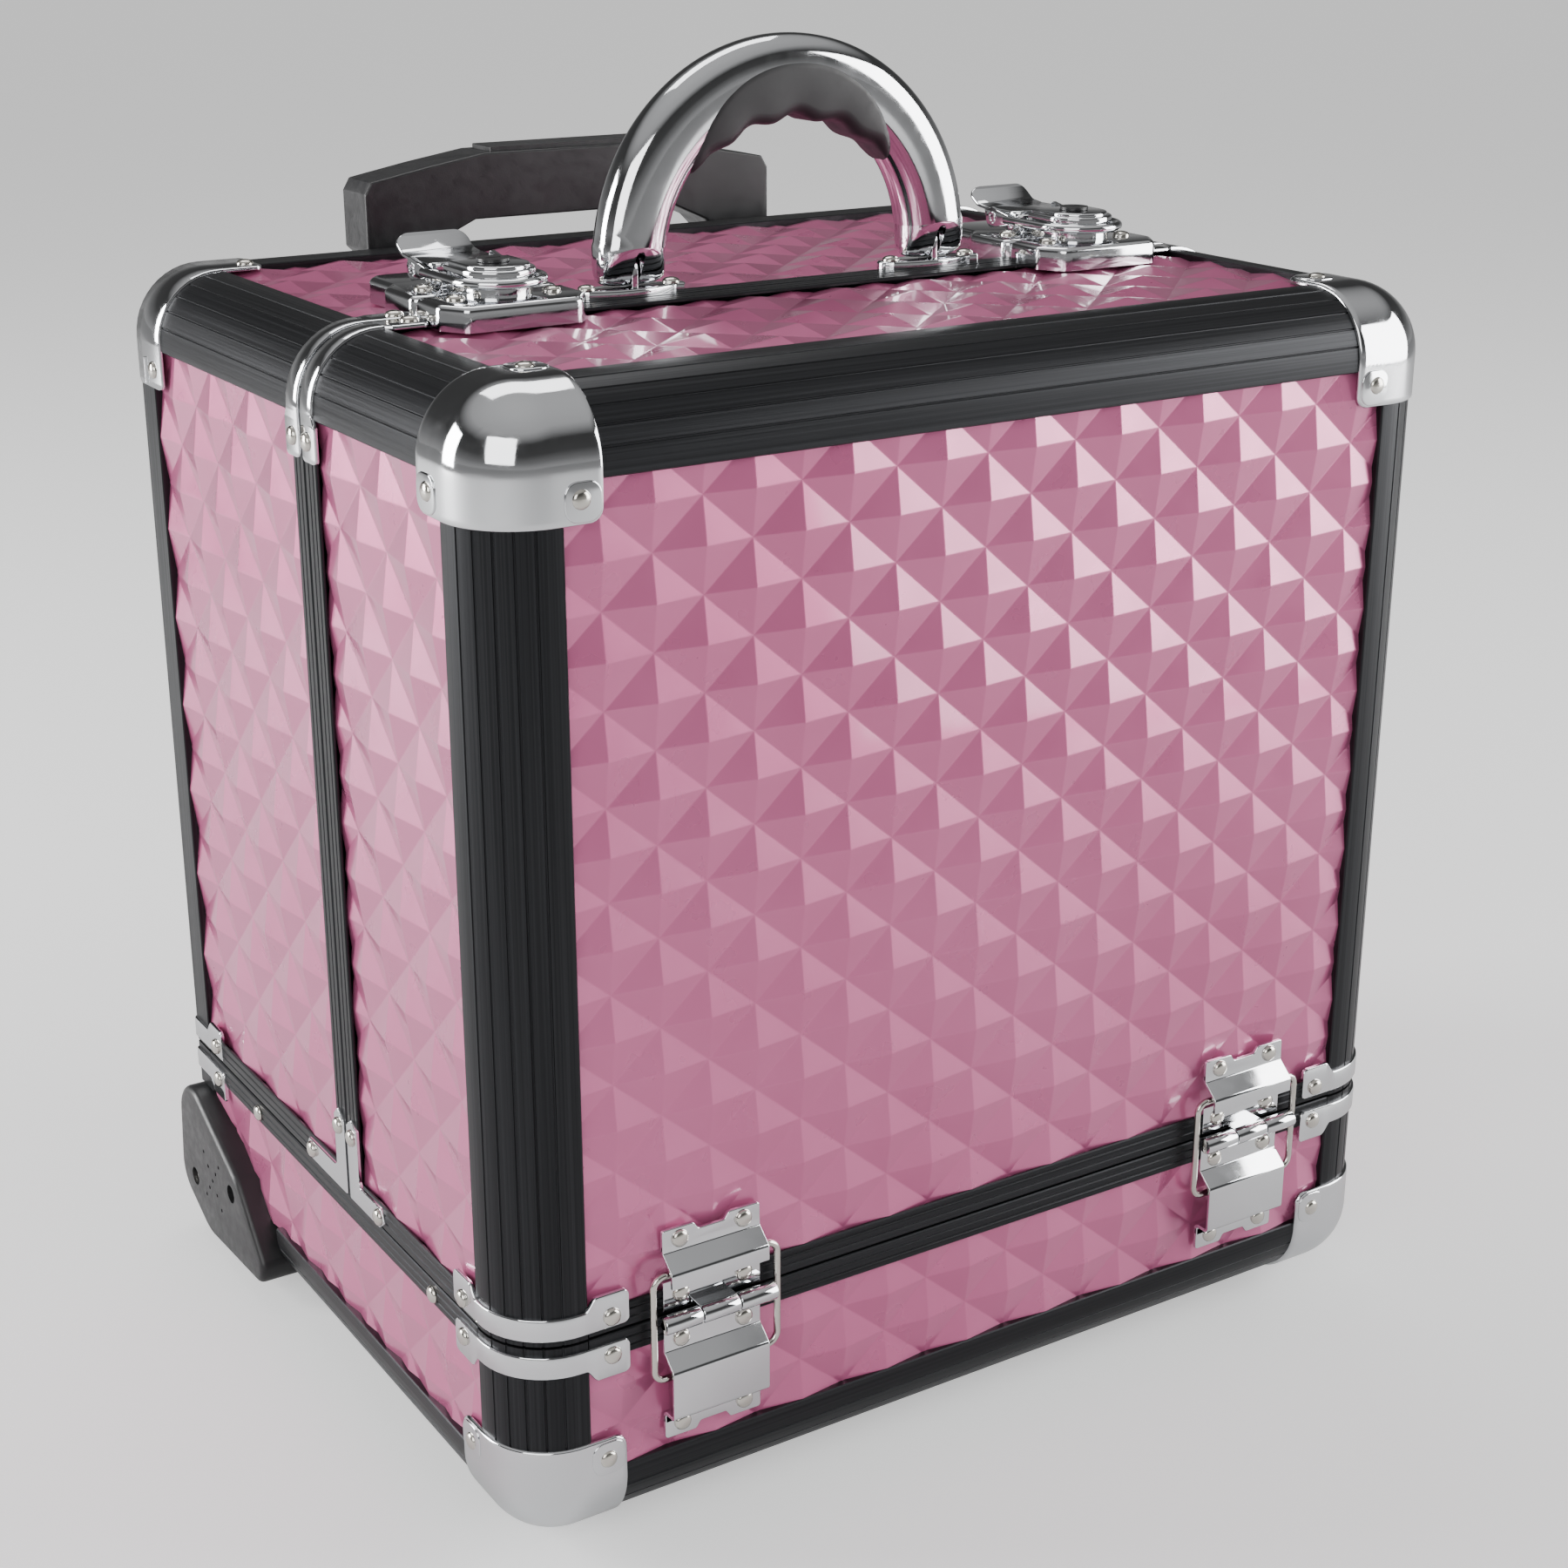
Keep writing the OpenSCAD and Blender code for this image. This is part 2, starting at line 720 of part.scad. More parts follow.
// Wire bail with flat ears, hooked round the nose of the catch
module latch_bail() {
  arc_y = nose_y;
  color(chrome) translate([latch_x, 0, latch_top + bail_z]) {
    for (s = [-1, 1]) {
      difference() {
        hull() {
          translate([s * 16.6 - 0.9, bail_y, 0]) rotate([0, 90, 0]) cylinder(r = 4.4, h = 1.8);
          translate([s * 16.6 - 0.9, bail_y - 11, -2]) cube([1.8, 2, 4]);
        }
        translate([s * 16.6 - 2, bail_y, 0]) rotate([0, 90, 0]) cylinder(r = 2.65, h = 4);
      }
      translate([s * bail_x, arc_y, 0]) rotate([-90, 0, 0])
        cylinder(r = bail_r, h = bail_y - 10 - arc_y);
    }
    translate([0, arc_y, 0]) rotate([0, 0, 180]) rotate_extrude(angle = 180)
      translate([bail_x, 0]) circle(bail_r);
  }
}
module latch_bail_right() { latch_bail(); }
module latch_bail_left() { mirror([1, 0, 0]) latch_bail(); }

// Outline of the catch block: a round nose in front and a straight rear edge
module nose_plan(r) {
  translate([0, nose_y]) circle(r);
  translate([-r, nose_y]) square([2 * r, y_seam + 8 - nose_y]);
}
module latch_catch() {
  difference() {
    union() {
      translate([0, y_seam, z_top]) pan(8) latch_front_plan();
      translate([0, 0, latch_top - 1]) linear_extrude(9) nose_plan(nose_r);
      translate([0, 0, latch_top + 7.8]) linear_extrude(2) nose_plan(nose_r + 1.4);
      translate([0, 0, latch_top + 9.8]) linear_extrude(1.4) nose_plan(nose_r - 0.6);
    }
    translate([-20, y_seam - 0.6, z_top - 1]) cube([40, 20, 9.3]);
    translate([0, y_seam - 4, z_top + 4]) cylinder(r = 5.05, h = 20);
  }
}
module latch_catches() {
  color(chrome) mirrored_x() translate([latch_x, 0, 0]) latch_catch();
}
module lock_cylinder() {
  color(black_plastic) translate([latch_x, y_seam - 4, 0]) difference() {
    union() {
      translate([0, 0, z_top + 4]) cylinder(r = 5, h = 15.4);
      translate([0, 0, latch_top + 11.4]) cylinder(r = 6, h = 1.2);
    }
    translate([-3.2, -0.6, latch_top + 9]) cube([6.4, 1.2, 6]);
  }
}
module lock_cylinder_right() { lock_cylinder(); }
module lock_cylinder_left() { mirror([1, 0, 0]) lock_cylinder(); }

// ---- Carry handle ----

module handle_mount() {
  translate([handle_r, handle_y, z_top]) {
    difference() {
      union() {
        intersection() {
          translate([0, 45, 0]) cylinder(r = 53, h = 3, $fn = 96);
          translate([0, -45, 0]) cylinder(r = 53, h = 3, $fn = 96);
          translate([-24, -8, 0]) cube([48, 16, 3]);
        }
        for (s = [-1, 1]) translate([s * 18.5, 0, 0]) cylinder(r = 5.5, h = 3);
        translate([-1.3, -5, 0]) cube([2.6, 10, pivot_up]);
        translate([-1.3, 0, pivot_up]) rotate([0, 90, 0]) cylinder(r = 5, h = 2.6);
      }
      translate([-10, 0, pivot_up]) rotate([0, 90, 0]) cylinder(r = 2, h = 20);
    }
    for (s = [-1, 1]) translate([s * 18.5, 0, 3]) rivet();
  }
}
module handle_mounts() {
  color(chrome) mirrored_x() handle_mount();
}

// Cross-section of the handle: radial width and depth
module handle_section(w, d) {
  r = d / 2;
  for (s = [-1, 1]) translate([s * (w / 2 - r), 0]) circle(r);
  square([w - 2 * r, d], center = true);
}
module carry_handle() {
  w = 28;
  d = 22;
  color(chrome) difference() {
    union() {
      translate([0, handle_y, leg_z]) rotate([90, 0, 0]) rotate_extrude(angle = 180, $fn = 96)
        translate([handle_r, 0]) handle_section(w, d);
      for (s = [-1, 1]) translate([s * handle_r, handle_y, leg_z - 8.5]) linear_extrude(8.5)
        handle_section(w, d);
    }
    translate([0, handle_y, leg_z]) rotate([90, 0, 0]) rotate([0, 0, 90 - grip_sector])
      rotate_extrude(angle = 2 * grip_sector, $fn = 96)
        translate([handle_r - 20, -20]) square([19, 40]);
    for (s = [-1, 1]) translate([s * handle_r, handle_y, z_top]) {
      translate([-1.8, -20, -5]) cube([3.6, 40, 22]);
      translate([0, 0, pivot_up]) {
        rotate([0, 90, 0]) cylinder(r = 2, h = 30, center = true);
        for (a = [-handle_swing:20:handle_swing]) rotate([a, 0, 0])
          translate([-20, -40, -46.2]) cube([40, 80, 40]);
      }
    }
  }
}
module handle_pins() {
  color(nickel) mirrored_x() translate([handle_r, handle_y, z_top + pivot_up])
    rotate([0, 90, 0]) cylinder(r = 1.95, h = 20, center = true);
}
module carry_handle_grip() {
  color(black_plastic) translate([0, handle_y, leg_z]) rotate([90, 0, 0])
    rotate([0, 0, 90 - grip_sector + 0.5])
      rotate_extrude(angle = 2 * grip_sector - 1, $fn = 96)
        intersection() {
          translate([handle_r - 3, 0]) handle_section(30, 22.5);
          translate([handle_r - 18, -20]) square([16.8, 40]);
        }
  color(black_plastic) for (a = [-33, -11, 11, 33])
    translate([0, handle_y, leg_z]) rotate([0, a, 0]) translate([0, 0, handle_r - 15.5])
      rotate([90, 0, 0]) cylinder(r = 5.4, h = 17, center = true);
}

// ---- Trolley handle ----

module tube(size, wall, z0, z1) {
  mirrored_x() translate([tube_x, trolley_y, z0]) linear_extrude(z1 - z0) difference() {
    square(size, center = true);
    square([size[0] - 2 * wall, size[1] - 2 * wall], center = true);
  }
}
module trolley_outer_tubes() {
  color(black_metal) tube(outer_tube, tube_wall, tube_bottom, tube_top);
}
module trolley_middle_tubes() {
  color(chrome) tube(middle_tube, 1.4, tube_bottom + 8, tube_top + 1.5);
}
module trolley_inner_tubes() {
  color(chrome) tube(inner_tube, 1.2, tube_bottom + 12, tube_top + 17);
}
module trolley_brackets() {
  depth = trolley_y + outer_tube[1] / 2 + 2.6 - y_back;
  color(black_plastic) for (z = [tube_bottom - 3, z_seam + 150, tube_top - 22])
    difference() {
      translate([-tube_x - 18, y_back + 0.1, z]) cube([2 * tube_x + 36, depth, 20]);
      mirrored_x() translate([tube_x, trolley_y, z + 13]) cube([outer_tube[0] + 0.1,
        outer_tube[1] + 0.1, 40], center = true);
      translate([-tube_x + 20, y_back + 4, z - 1]) cube([2 * tube_x - 40, depth, 22]);
    }
}

// Front outline of the trolley grip
module grip_outline() {
  w = grip_w / 2;
  polygon([[-w + 4, -8], [-w + 28, -8], [-w + 34, -2], [-w + 52, 6], [w - 52, 6], [w - 34, -2],
    [w - 28, -8], [w - 4, -8], [w, -4], [w, 20], [w - 3, 25], [w - 30, 30], [44, 34.4],
    [-44, 34.4], [-w + 30, 30], [-w + 3, 25], [-w, 20], [-w, -4]]);
}
module trolley_grip() {
  color(black_plastic) difference() {
    translate([0, trolley_y + grip_depth / 2 + 0.5, z_top + 1]) rotate([90, 0, 0])
      linear_extrude(grip_depth) grip_outline();
    mirrored_x() translate([tube_x, trolley_y, z_top - 10]) cube([inner_tube[0] + 0.1,
      inner_tube[1] + 0.1, 24], center = true);
    translate([-button_w / 2 - 0.4, trolley_y - 9.4, z_top + 24]) cube([button_w + 0.8, 19.8, 20]);
    translate([-6, trolley_y - 3, z_top + 16]) cube([12, 6, 9]);
  }
}
module trolley_button() {
  color(black_plastic) {
    translate([-button_w / 2, trolley_y - 9, z_top + 28.5]) cube([button_w, 19, 8.9]);
    translate([-3, trolley_y - 2.6, z_top + 20.5]) cube([6, 5.2, 8.2]);
  }
}

// ---- Front half ----

y_fore = y_seam - half_gap;

module front_panel_board() {
  color(pink) translate([-half_w + edge_r, y_front + board_in, z_upper + 2 * skin])
    cube([case_w - 2 * edge_r, board_t, z_top - edge_r - z_upper - 2 * skin]);
}
module front_side_boards() {
  color(pink) mirrored_x()
    translate([-half_w + board_in, y_front + edge_r, z_upper + 2 * skin])
      cube([board_t, y_fore - 2 * skin - y_front - edge_r, z_top - edge_r - z_upper - 2 * skin]);
}
module front_top_board() {
  color(pink) translate([-half_w + edge_r, y_front + edge_r, z_top - board_far])
    cube([case_w - 2 * edge_r, y_fore - 2 * skin - y_front - edge_r, board_t]);
}

module front_profiles() {
  color(black_metal) {
    run_x(-half_w + edge_w, half_w - edge_w, y_front, z_top, false) edge_section();
    run_x(-half_w + edge_w, half_w - edge_w, y_front, z_upper + rim_h, false) rim_section();
    run_top_rim(y_fore - rim_h) rim_section();
    mirrored_x() {
      run_z(-half_w, y_front, z_upper, z_top - edge_w) edge_section();
      run_y(-half_w, y_front + edge_w, y_fore, z_top, false) edge_section();
      run_y(-half_w, y_front + edge_w, y_fore - rim_h, z_upper + rim_h, false) rim_section();
      run_z(-half_w, y_fore - rim_h, z_upper, z_top - edge_w) rim_section();
    }
  }
}

module front_ball_corners() {
  color(chrome) mirrored_x() translate([-half_w, y_front, z_top]) mirror([0, 0, 1]) ball_corner();
}

module front_brackets() {
  color(chrome) mirrored_x() {
    front_seam_strap(z_upper + 2.5);
    top_strap(y_fore - 11, 10, top_reach);
    translate([0, y_fore, 0]) mirror([0, 1, 0]) seam_foot(34);
  }
}

module front_rivets() {
  color(nickel) mirrored_x() {
    rivet_front(-half_w + 39, z_upper + 7);
    rivet_side(y_front + 39, z_upper + 7);
    rivet_front(-half_w + 35.5, z_top - 35.5);
    rivet_side(y_front + 35.5, z_top - 35.5);
    rivet_top(-half_w + 35.5, y_front + 35.5);
    rivet_side(y_fore - 6, z_top - 38);
    rivet_top(-half_w + top_reach - 4.8, y_fore - 6);
    rivet_side(y_fore - 6, z_upper + 29);
    rivet_side(y_fore - 29, z_upper + 5);
    for (dx = [-13.5, 13.5]) {
      rivet_front(hinge_x + dx, z_seam + 8.5, 1.4);
      rivet_front(hinge_x + dx, z_seam + 31, 1.4);
      rivet_top(latch_x + dx * 1.44, y_seam - 12, 8);
    }
  }
}

// ---- Trays ----

module tray(i) {
  color(grey_tray) translate([-tray_w / 2, tray_front, tray_first + i * tray_pitch]) difference() {
    union() {
      cube([tray_w, tray_back - tray_front, tray_h]);
      for (x = [-6, tray_w]) translate([x, 6, tray_h - 4.8])
        cube([6, tray_back - tray_front - 6, 2]);
    }
    translate([tray_wall, tray_wall, tray_wall])
      cube([tray_w - 2 * tray_wall, tray_back - tray_front - 2 * tray_wall, tray_h]);
    translate([tray_w / 2 - 30, -1, tray_h - 18]) cube([60, tray_wall + 2, 10]);
  }
}
module tray_1() { tray(0); }
module tray_2() { tray(1); }
module tray_3() { tray(2); }

base_front_board();
base_side_boards();
base_back_board();
base_floor_board();
base_profiles();
base_ball_corners();
base_brackets();
base_rivets();
base_dividers();
rubber_feet();
wheel_housing_left();
wheel_housing_right();
wheel_axles();
rear_side_boards();
rear_top_board();
rear_back_board();
rear_floor_board();
rear_profiles();
rear_brackets();
rear_rivets();
tray_rails();
hinge_lower_plates();
hinge_pins();
latch_base_plates();
handle_mounts();
handle_pins();
trolley_outer_tubes();
trolley_brackets();
front_panel_board();
front_side_boards();
front_top_board();
front_profiles();
front_ball_corners();
front_brackets();
front_rivets();
hinge_upper_plates();
latch_catches();
lock_cylinder_left();
lock_cylinder_right();
stay_ring_left();
stay_ring_right();
latch_lever_left();
latch_lever_right();
latch_bail_left();
latch_bail_right();
carry_handle();
carry_handle_grip();
trolley_middle_tubes();
trolley_inner_tubes();
trolley_grip();
trolley_button();
wheel_tyre_left();
wheel_hub_left();
wheel_tyre_right();
wheel_hub_right();
tray_1();
tray_2();
tray_3();
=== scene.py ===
"""Looks of the makeup trolley case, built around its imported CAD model. Lengths are in metres."""

import math

import bmesh
import bpy
import numpy as np
from mathutils import Matrix, Vector


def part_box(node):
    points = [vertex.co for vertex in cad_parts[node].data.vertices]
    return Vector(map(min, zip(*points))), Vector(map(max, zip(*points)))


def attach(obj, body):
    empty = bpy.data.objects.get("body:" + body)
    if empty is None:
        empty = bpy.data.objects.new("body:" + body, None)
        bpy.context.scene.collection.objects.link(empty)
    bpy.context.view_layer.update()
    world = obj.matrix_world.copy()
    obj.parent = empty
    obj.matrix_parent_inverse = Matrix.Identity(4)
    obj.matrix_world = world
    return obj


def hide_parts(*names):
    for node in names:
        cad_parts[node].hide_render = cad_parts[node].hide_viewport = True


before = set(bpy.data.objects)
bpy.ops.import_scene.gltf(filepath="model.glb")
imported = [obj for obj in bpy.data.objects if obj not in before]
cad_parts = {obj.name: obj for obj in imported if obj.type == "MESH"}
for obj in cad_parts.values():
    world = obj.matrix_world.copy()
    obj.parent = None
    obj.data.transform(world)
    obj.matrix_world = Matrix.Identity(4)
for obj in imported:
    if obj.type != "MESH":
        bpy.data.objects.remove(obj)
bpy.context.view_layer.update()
MM = 0.001

# Planes of the case, read from the frame
BASE_LOW, BASE_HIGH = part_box("base_profiles")
REAR_LOW, REAR_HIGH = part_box("rear_profiles")
HALF_W = BASE_HIGH.x
Y_FRONT = BASE_LOW.y
Y_BACK = BASE_HIGH.y
Y_REAR = REAR_LOW.y
Y_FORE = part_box("front_profiles")[1].y
Z_BASE = BASE_LOW.z
Z_RIM = BASE_HIGH.z
Z_UPPER = REAR_LOW.z
Z_TOP = REAR_HIGH.z
Z_SEAM = (Z_RIM + Z_UPPER) / 2

# Sections of the profiles
EDGE_W = 30 * MM
EDGE_R = 27 * MM
SKIN = 1.2 * MM
ANGLE_W = 15 * MM
RIM_H = 10 * MM
RIM_D = 11 * MM
BOARD_IN = 1.3 * MM
LIP_T = 3.4 * MM
BOARD_T = 4 * MM
PLATE_T = 1.2 * MM
JOINT = 0.05 * MM

# Well of a wheel housing: how far in from the side and up from the underside it reaches
WELL_IN = 26.5 * MM
WELL_UP = 67.5 * MM

SIDES = ((-1, "left"), (1, "right"))
X, Y, Z = Vector((1, 0, 0)), Vector((0, 1, 0)), Vector((0, 0, 1))


# ---- Materials ----


def add_node(tree, kind, **inputs):
    """A new node; each input is a value or a socket to link, with _ for a blank in its name."""
    node = tree.nodes.new(kind)
    for name, value in inputs.items():
        socket = node.inputs[name.replace("_", " ")]
        if isinstance(value, bpy.types.NodeSocket):
            tree.links.new(value, socket)
        else:
            socket.default_value = value
    return node


def feed(mat, name, source):
    """Links a source to a socket of the material's shader."""
    mat.node_tree.links.new(source, mat.node_tree.nodes["Principled BSDF"].inputs[name])


def new_material(name, colour, roughness, metallic=0.0, coat=0.0, coat_roughness=0.05):
    """A Principled material with plain values on its own sockets."""
    mat = bpy.data.materials.new(name)
    mat.use_nodes = True
    inputs = mat.node_tree.nodes["Principled BSDF"].inputs
    inputs["Base Color"].default_value = (*colour, 1)
    inputs["Roughness"].default_value = roughness
    inputs["Metallic"].default_value = metallic
    inputs["Coat Weight"].default_value = coat
    inputs["Coat Roughness"].default_value = coat_roughness
    return mat


def add_noise(mat, scale, detail=3.0, stretch=(1, 1, 1), space="Object"):
    """A noise texture, stretched along the axes of a coordinate space."""
    tree = mat.node_tree
    where = add_node(tree, "ShaderNodeTexCoord").outputs[space]
    mapped = add_node(tree, "ShaderNodeMapping", Vector=where, Scale=stretch).outputs["Vector"]
    noise = add_node(tree, "ShaderNodeTexNoise", Vector=mapped, Scale=scale, Detail=detail)
    return noise.outputs["Fac"]


def add_range(mat, source, low, high, start=0.3, end=0.7):
    """The source mapped from start..end onto low..high."""
    node = add_node(mat.node_tree, "ShaderNodeMapRange", Value=source, From_Min=start, From_Max=end,
                    To_Min=low, To_Max=high)
    return node.outputs["Result"]


def add_tint(mat, source, dark, light, start=0.3, end=0.7):
    """Base colour that wanders between two colours with the source."""
    ramp = add_node(mat.node_tree, "ShaderNodeValToRGB", Fac=source)
    for stop, place, colour in zip(ramp.color_ramp.elements, (start, end), (dark, light)):
        stop.position = place
        stop.color = (*colour, 1)
    feed(mat, "Base Color", ramp.outputs["Color"])


def add_bump(mat, source, distance):
    """Bump of a real height; several calls add up."""
    tree = mat.node_tree
    normal = tree.nodes["Principled BSDF"].inputs["Normal"]
    bump = add_node(tree, "ShaderNodeBump", Height=source, Distance=distance, Strength=1.0)
    if normal.is_linked:
        tree.links.new(normal.links[0].from_socket, bump.inputs["Normal"])
    tree.links.new(bump.outputs["Normal"], normal)


def embossed_material():
    """Glossy pink laminate with a metallic pearl under the lacquer."""
    mat = new_material("pink_embossed", (0.52, 0.12, 0.25), 0.3, 0.42, 0.6, 0.05)
    add_tint(mat, add_noise(mat, 9, 2), (0.53, 0.120, 0.262), (0.58, 0.145, 0.300))
    feed(mat, "Roughness", add_range(mat, add_noise(mat, 55, 3), 0.26, 0.34))
    add_bump(mat, add_noise(mat, 40, 1), 0.10 * MM)
    add_bump(mat, add_noise(mat, 700, 2), 0.002 * MM)
    return mat


def lining_material():
    """Black napped lining inside the case."""
    mat = new_material("black_lining", (0.012, 0.012, 0.013), 0.95)
    add_tint(mat, add_noise(mat, 500, 4), (0.008, 0.008, 0.009), (0.022, 0.022, 0.024))
    add_bump(mat, add_noise(mat, 1600, 3), 0.12 * MM)
    return mat


def profile_material():
    """Black anodised aluminium, drawn along its length."""
    mat = new_material("black_profile", (0.018, 0.019, 0.021), 0.36, 0.75)
    streaks = add_noise(mat, 1, 4, (3, 900, 1), "UV")
    add_tint(mat, streaks, (0.012, 0.0125, 0.014), (0.030, 0.031, 0.034))
    feed(mat, "Roughness", add_range(mat, add_noise(mat, 1, 3, (6, 2500, 1), "UV"), 0.28, 0.46))
    add_bump(mat, streaks, 0.012 * MM)
    return mat


def metal_material(name, colour, smooth, dull, smear=180):
    """Plated or bare metal with faint smears and fine scratches."""
    mat = new_material(name, colour, smooth, 1.0)
    dark = tuple(0.93 * c for c in colour)
    add_tint(mat, add_noise(mat, 25, 2), dark, colour)
    feed(mat, "Roughness", add_range(mat, add_noise(mat, smear, 4), smooth, dull, 0.35, 0.8))
    add_bump(mat, add_noise(mat, 45, 1), 0.06 * MM)
    add_bump(mat, add_noise(mat, 300, 3, (1, 12, 1)), 0.003 * MM)
    return mat


def moulded_material(name, colour, roughness, grain, height, coat=0.0):
    """Moulded plastic or rubber with a fine grain."""
    mat = new_material(name, colour, roughness, 0.0, coat, 0.2)
    light = tuple(1.35 * c + 0.002 for c in colour)
    add_tint(mat, add_noise(mat, 40, 3), colour, light)
    feed(mat, "Roughness", add_range(mat, add_noise(mat, 240, 3), roughness - 0.06, roughness + 0.08))
    add_bump(mat, add_noise(mat, grain, 3), height)
    return mat


PINK = embossed_material()
LINING = lining_material()
PROFILE = profile_material()
CHROME = metal_material("chrome", (0.78, 0.79, 0.81), 0.05, 0.13)
NICKEL = metal_material("nickel", (0.70, 0.67, 0.61), 0.14, 0.26)
BARE = metal_material("bare_aluminium", (0.66, 0.67, 0.69), 0.28, 0.42, 600)
RUBBER = moulded_material("black_rubber", (0.013, 0.013, 0.014), 0.48, 2200, 0.02 * MM)
TYRE = moulded_material("tyre_rubber", (0.016, 0.016, 0.017), 0.62, 1600, 0.03 * MM)
PLASTIC = moulded_material("black_plastic", (0.011, 0.011, 0.012), 0.38, 1700, 0.03 * MM)
TRAY = moulded_material("tray_plastic", (0.030, 0.030, 0.032), 0.45, 1100, 0.04 * MM)


# ---- Mesh building ----


def new_object(name, data):
    """An object in the scene's own collection."""
    obj = bpy.data.objects.new(name, data)
    bpy.context.scene.collection.objects.link(obj)
    return obj


class Builder:
    """Gathers polygons into one mesh. Corner normals and UVs are optional."""

    def __init__(self):
        self.points, self.faces, self.slots = [], [], []
        self.normals, self.uvs = [], []

    def add(self, points, faces, matrix):
        """Adds a patch; a mirroring matrix turns its faces over."""
        first = len(self.points)
        way = -1 if matrix.determinant() < 0 else 1
        self.points += [tuple(matrix @ Vector(p)) for p in points]
        self.faces += [[first + i for i in face[::way]] for face in faces]
        self.slots += [0] * len(faces)

    def grid(self, rows, matrix=Matrix.Identity(4), caps=False):
        """Adds a surface through closed rows of points, open or capped at its ends."""
        n = len(rows[0])
        points = [p for row in rows for p in row]
        faces = []
        for i in range(len(rows) - 1):
            for j in range(n):
                k = (j + 1) % n
                faces.append((i * n + j, i * n + k, (i + 1) * n + k, (i + 1) * n + j))
        if caps:
            last = (len(rows) - 1) * n
            faces.append(tuple(reversed(range(n))))
            faces.append(tuple(range(last, last + n)))
        self.add(points, faces, matrix)

    def build(self, name, materials, body, slot, replaces=(), sharp=32):
        """Makes the object, ready to ride on its body."""
        mesh = bpy.data.meshes.new(name)
        mesh.from_pydata(self.points, [], self.faces)
        for mat in materials:
            mesh.materials.append(mat)
        mesh.polygons.foreach_set("material_index", self.slots)
        if self.uvs:
            layer = mesh.uv_layers.new(name="length_and_girth")
            layer.data.foreach_set("uv", [c for uv in self.uvs for c in uv])
        mesh.shade_smooth()
        if self.normals:
            mesh.normals_split_custom_set(self.normals)
        else:
            bm = bmesh.new()
            bm.from_mesh(mesh)
            bmesh.ops.remove_doubles(bm, verts=bm.verts, dist=1e-6)
            bmesh.ops.dissolve_degenerate(bm, edges=bm.edges, dist=1e-7)
            bmesh.ops.recalc_face_normals(bm, faces=bm.faces)
            bm.to_mesh(mesh)
            bm.free()
            mesh.set_sharp_from_angle(angle=math.radians(sharp))
        obj = new_object(name, mesh)
        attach(obj, body)
        if replaces:
            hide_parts(*replaces)
        return obj


def axes(origin, a, b, c):
    """Matrix that takes (u, v, w) to origin + a u + b v + c w."""
    m = Matrix((a, b, c)).transposed().to_4x4()
    m.translation = origin
    return m


def sideways(matrix, place=(0, 0, 0), way=1):
    """A matrix moved to a place, with its third axis turned onto the first or against it."""
    return matrix @ axes(place, Y, Z, X * way)


def hull(points, digits=6, slack=0.0):
    """Convex hull, anticlockwise."""
    points = sorted(set((round(a, digits), round(b, digits)) for a, b in points))

    def half(items):
        out = []
        for p in items:
            while len(out) > 1 and ((out[-1][0] - out[-2][0]) * (p[1] - out[-2][1])
                                    - (out[-1][1] - out[-2][1]) * (p[0] - out[-2][0])) <= slack:
                out.pop()
            out.append(p)
        return out[:-1]

    return half(points) + half(points[::-1])


def islands(node):
    """The separate solids of a CAD node, each as an array of its points."""
    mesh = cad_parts[node].data
    bm = bmesh.new()
    bm.from_mesh(mesh)
    bmesh.ops.remove_doubles(bm, verts=bm.verts, dist=1e-6)
    left, found = set(bm.verts), []
    while left:
        stack = [left.pop()]
        part = []
        while stack:
            v = stack.pop()
            part.append(tuple(v.co))
            for e in v.link_edges:
                w = e.other_vert(v)
                if w in left:
                    left.remove(w)
                    stack.append(w)
        found.append(np.array(part))
    bm.free()
    return sorted(found, key=lambda p: tuple(p.mean(0).round(5)))


# ---- Embossed panels ----

VALLEY = 3.2 * MM
PEAK = 0.6 * MM
CREASE = 0.45 * MM


def unit(v):
    """The vector at length 1."""
    return v / np.linalg.norm(v)


def cut(polygon, a, c):
    """The part of a polygon where a . (u, v) <= c; other values are interpolated."""
    side = [a[0] * p[0] + a[1] * p[1] - c for p in polygon]
    if all(s <= 1e-9 for s in side):
        return polygon
    out = []
    for i, p in enumerate(polygon):
        q, s, t = polygon[(i + 1) % len(polygon)], side[i], side[(i + 1) % len(polygon)]
        if s <= 0:
            out.append(p)
        if (s < 0 < t) or (t < 0 < s):
            out.append(p + (q - p) * (s / (s - t)))
    return out if len(out) > 2 else []


def cut_all(polygons, a, c):
    """What is left of every polygon after the same cut."""
    return [q for q in (cut(p, a, c) for p in polygons) if len(q)]


def remove(polygons, outline):
    """Takes a convex outline, given anticlockwise, out of the polygons."""
    kept = []
    for p, q in zip(outline, outline[1:] + outline[:1]):
        d = np.array(q) - np.array(p)
        a = np.array([d[1], -d[0]])
        c = a @ np.array(p)
        kept += cut_all(polygons, -a, -c)
        polygons = cut_all(polygons, a, c)
    return kept


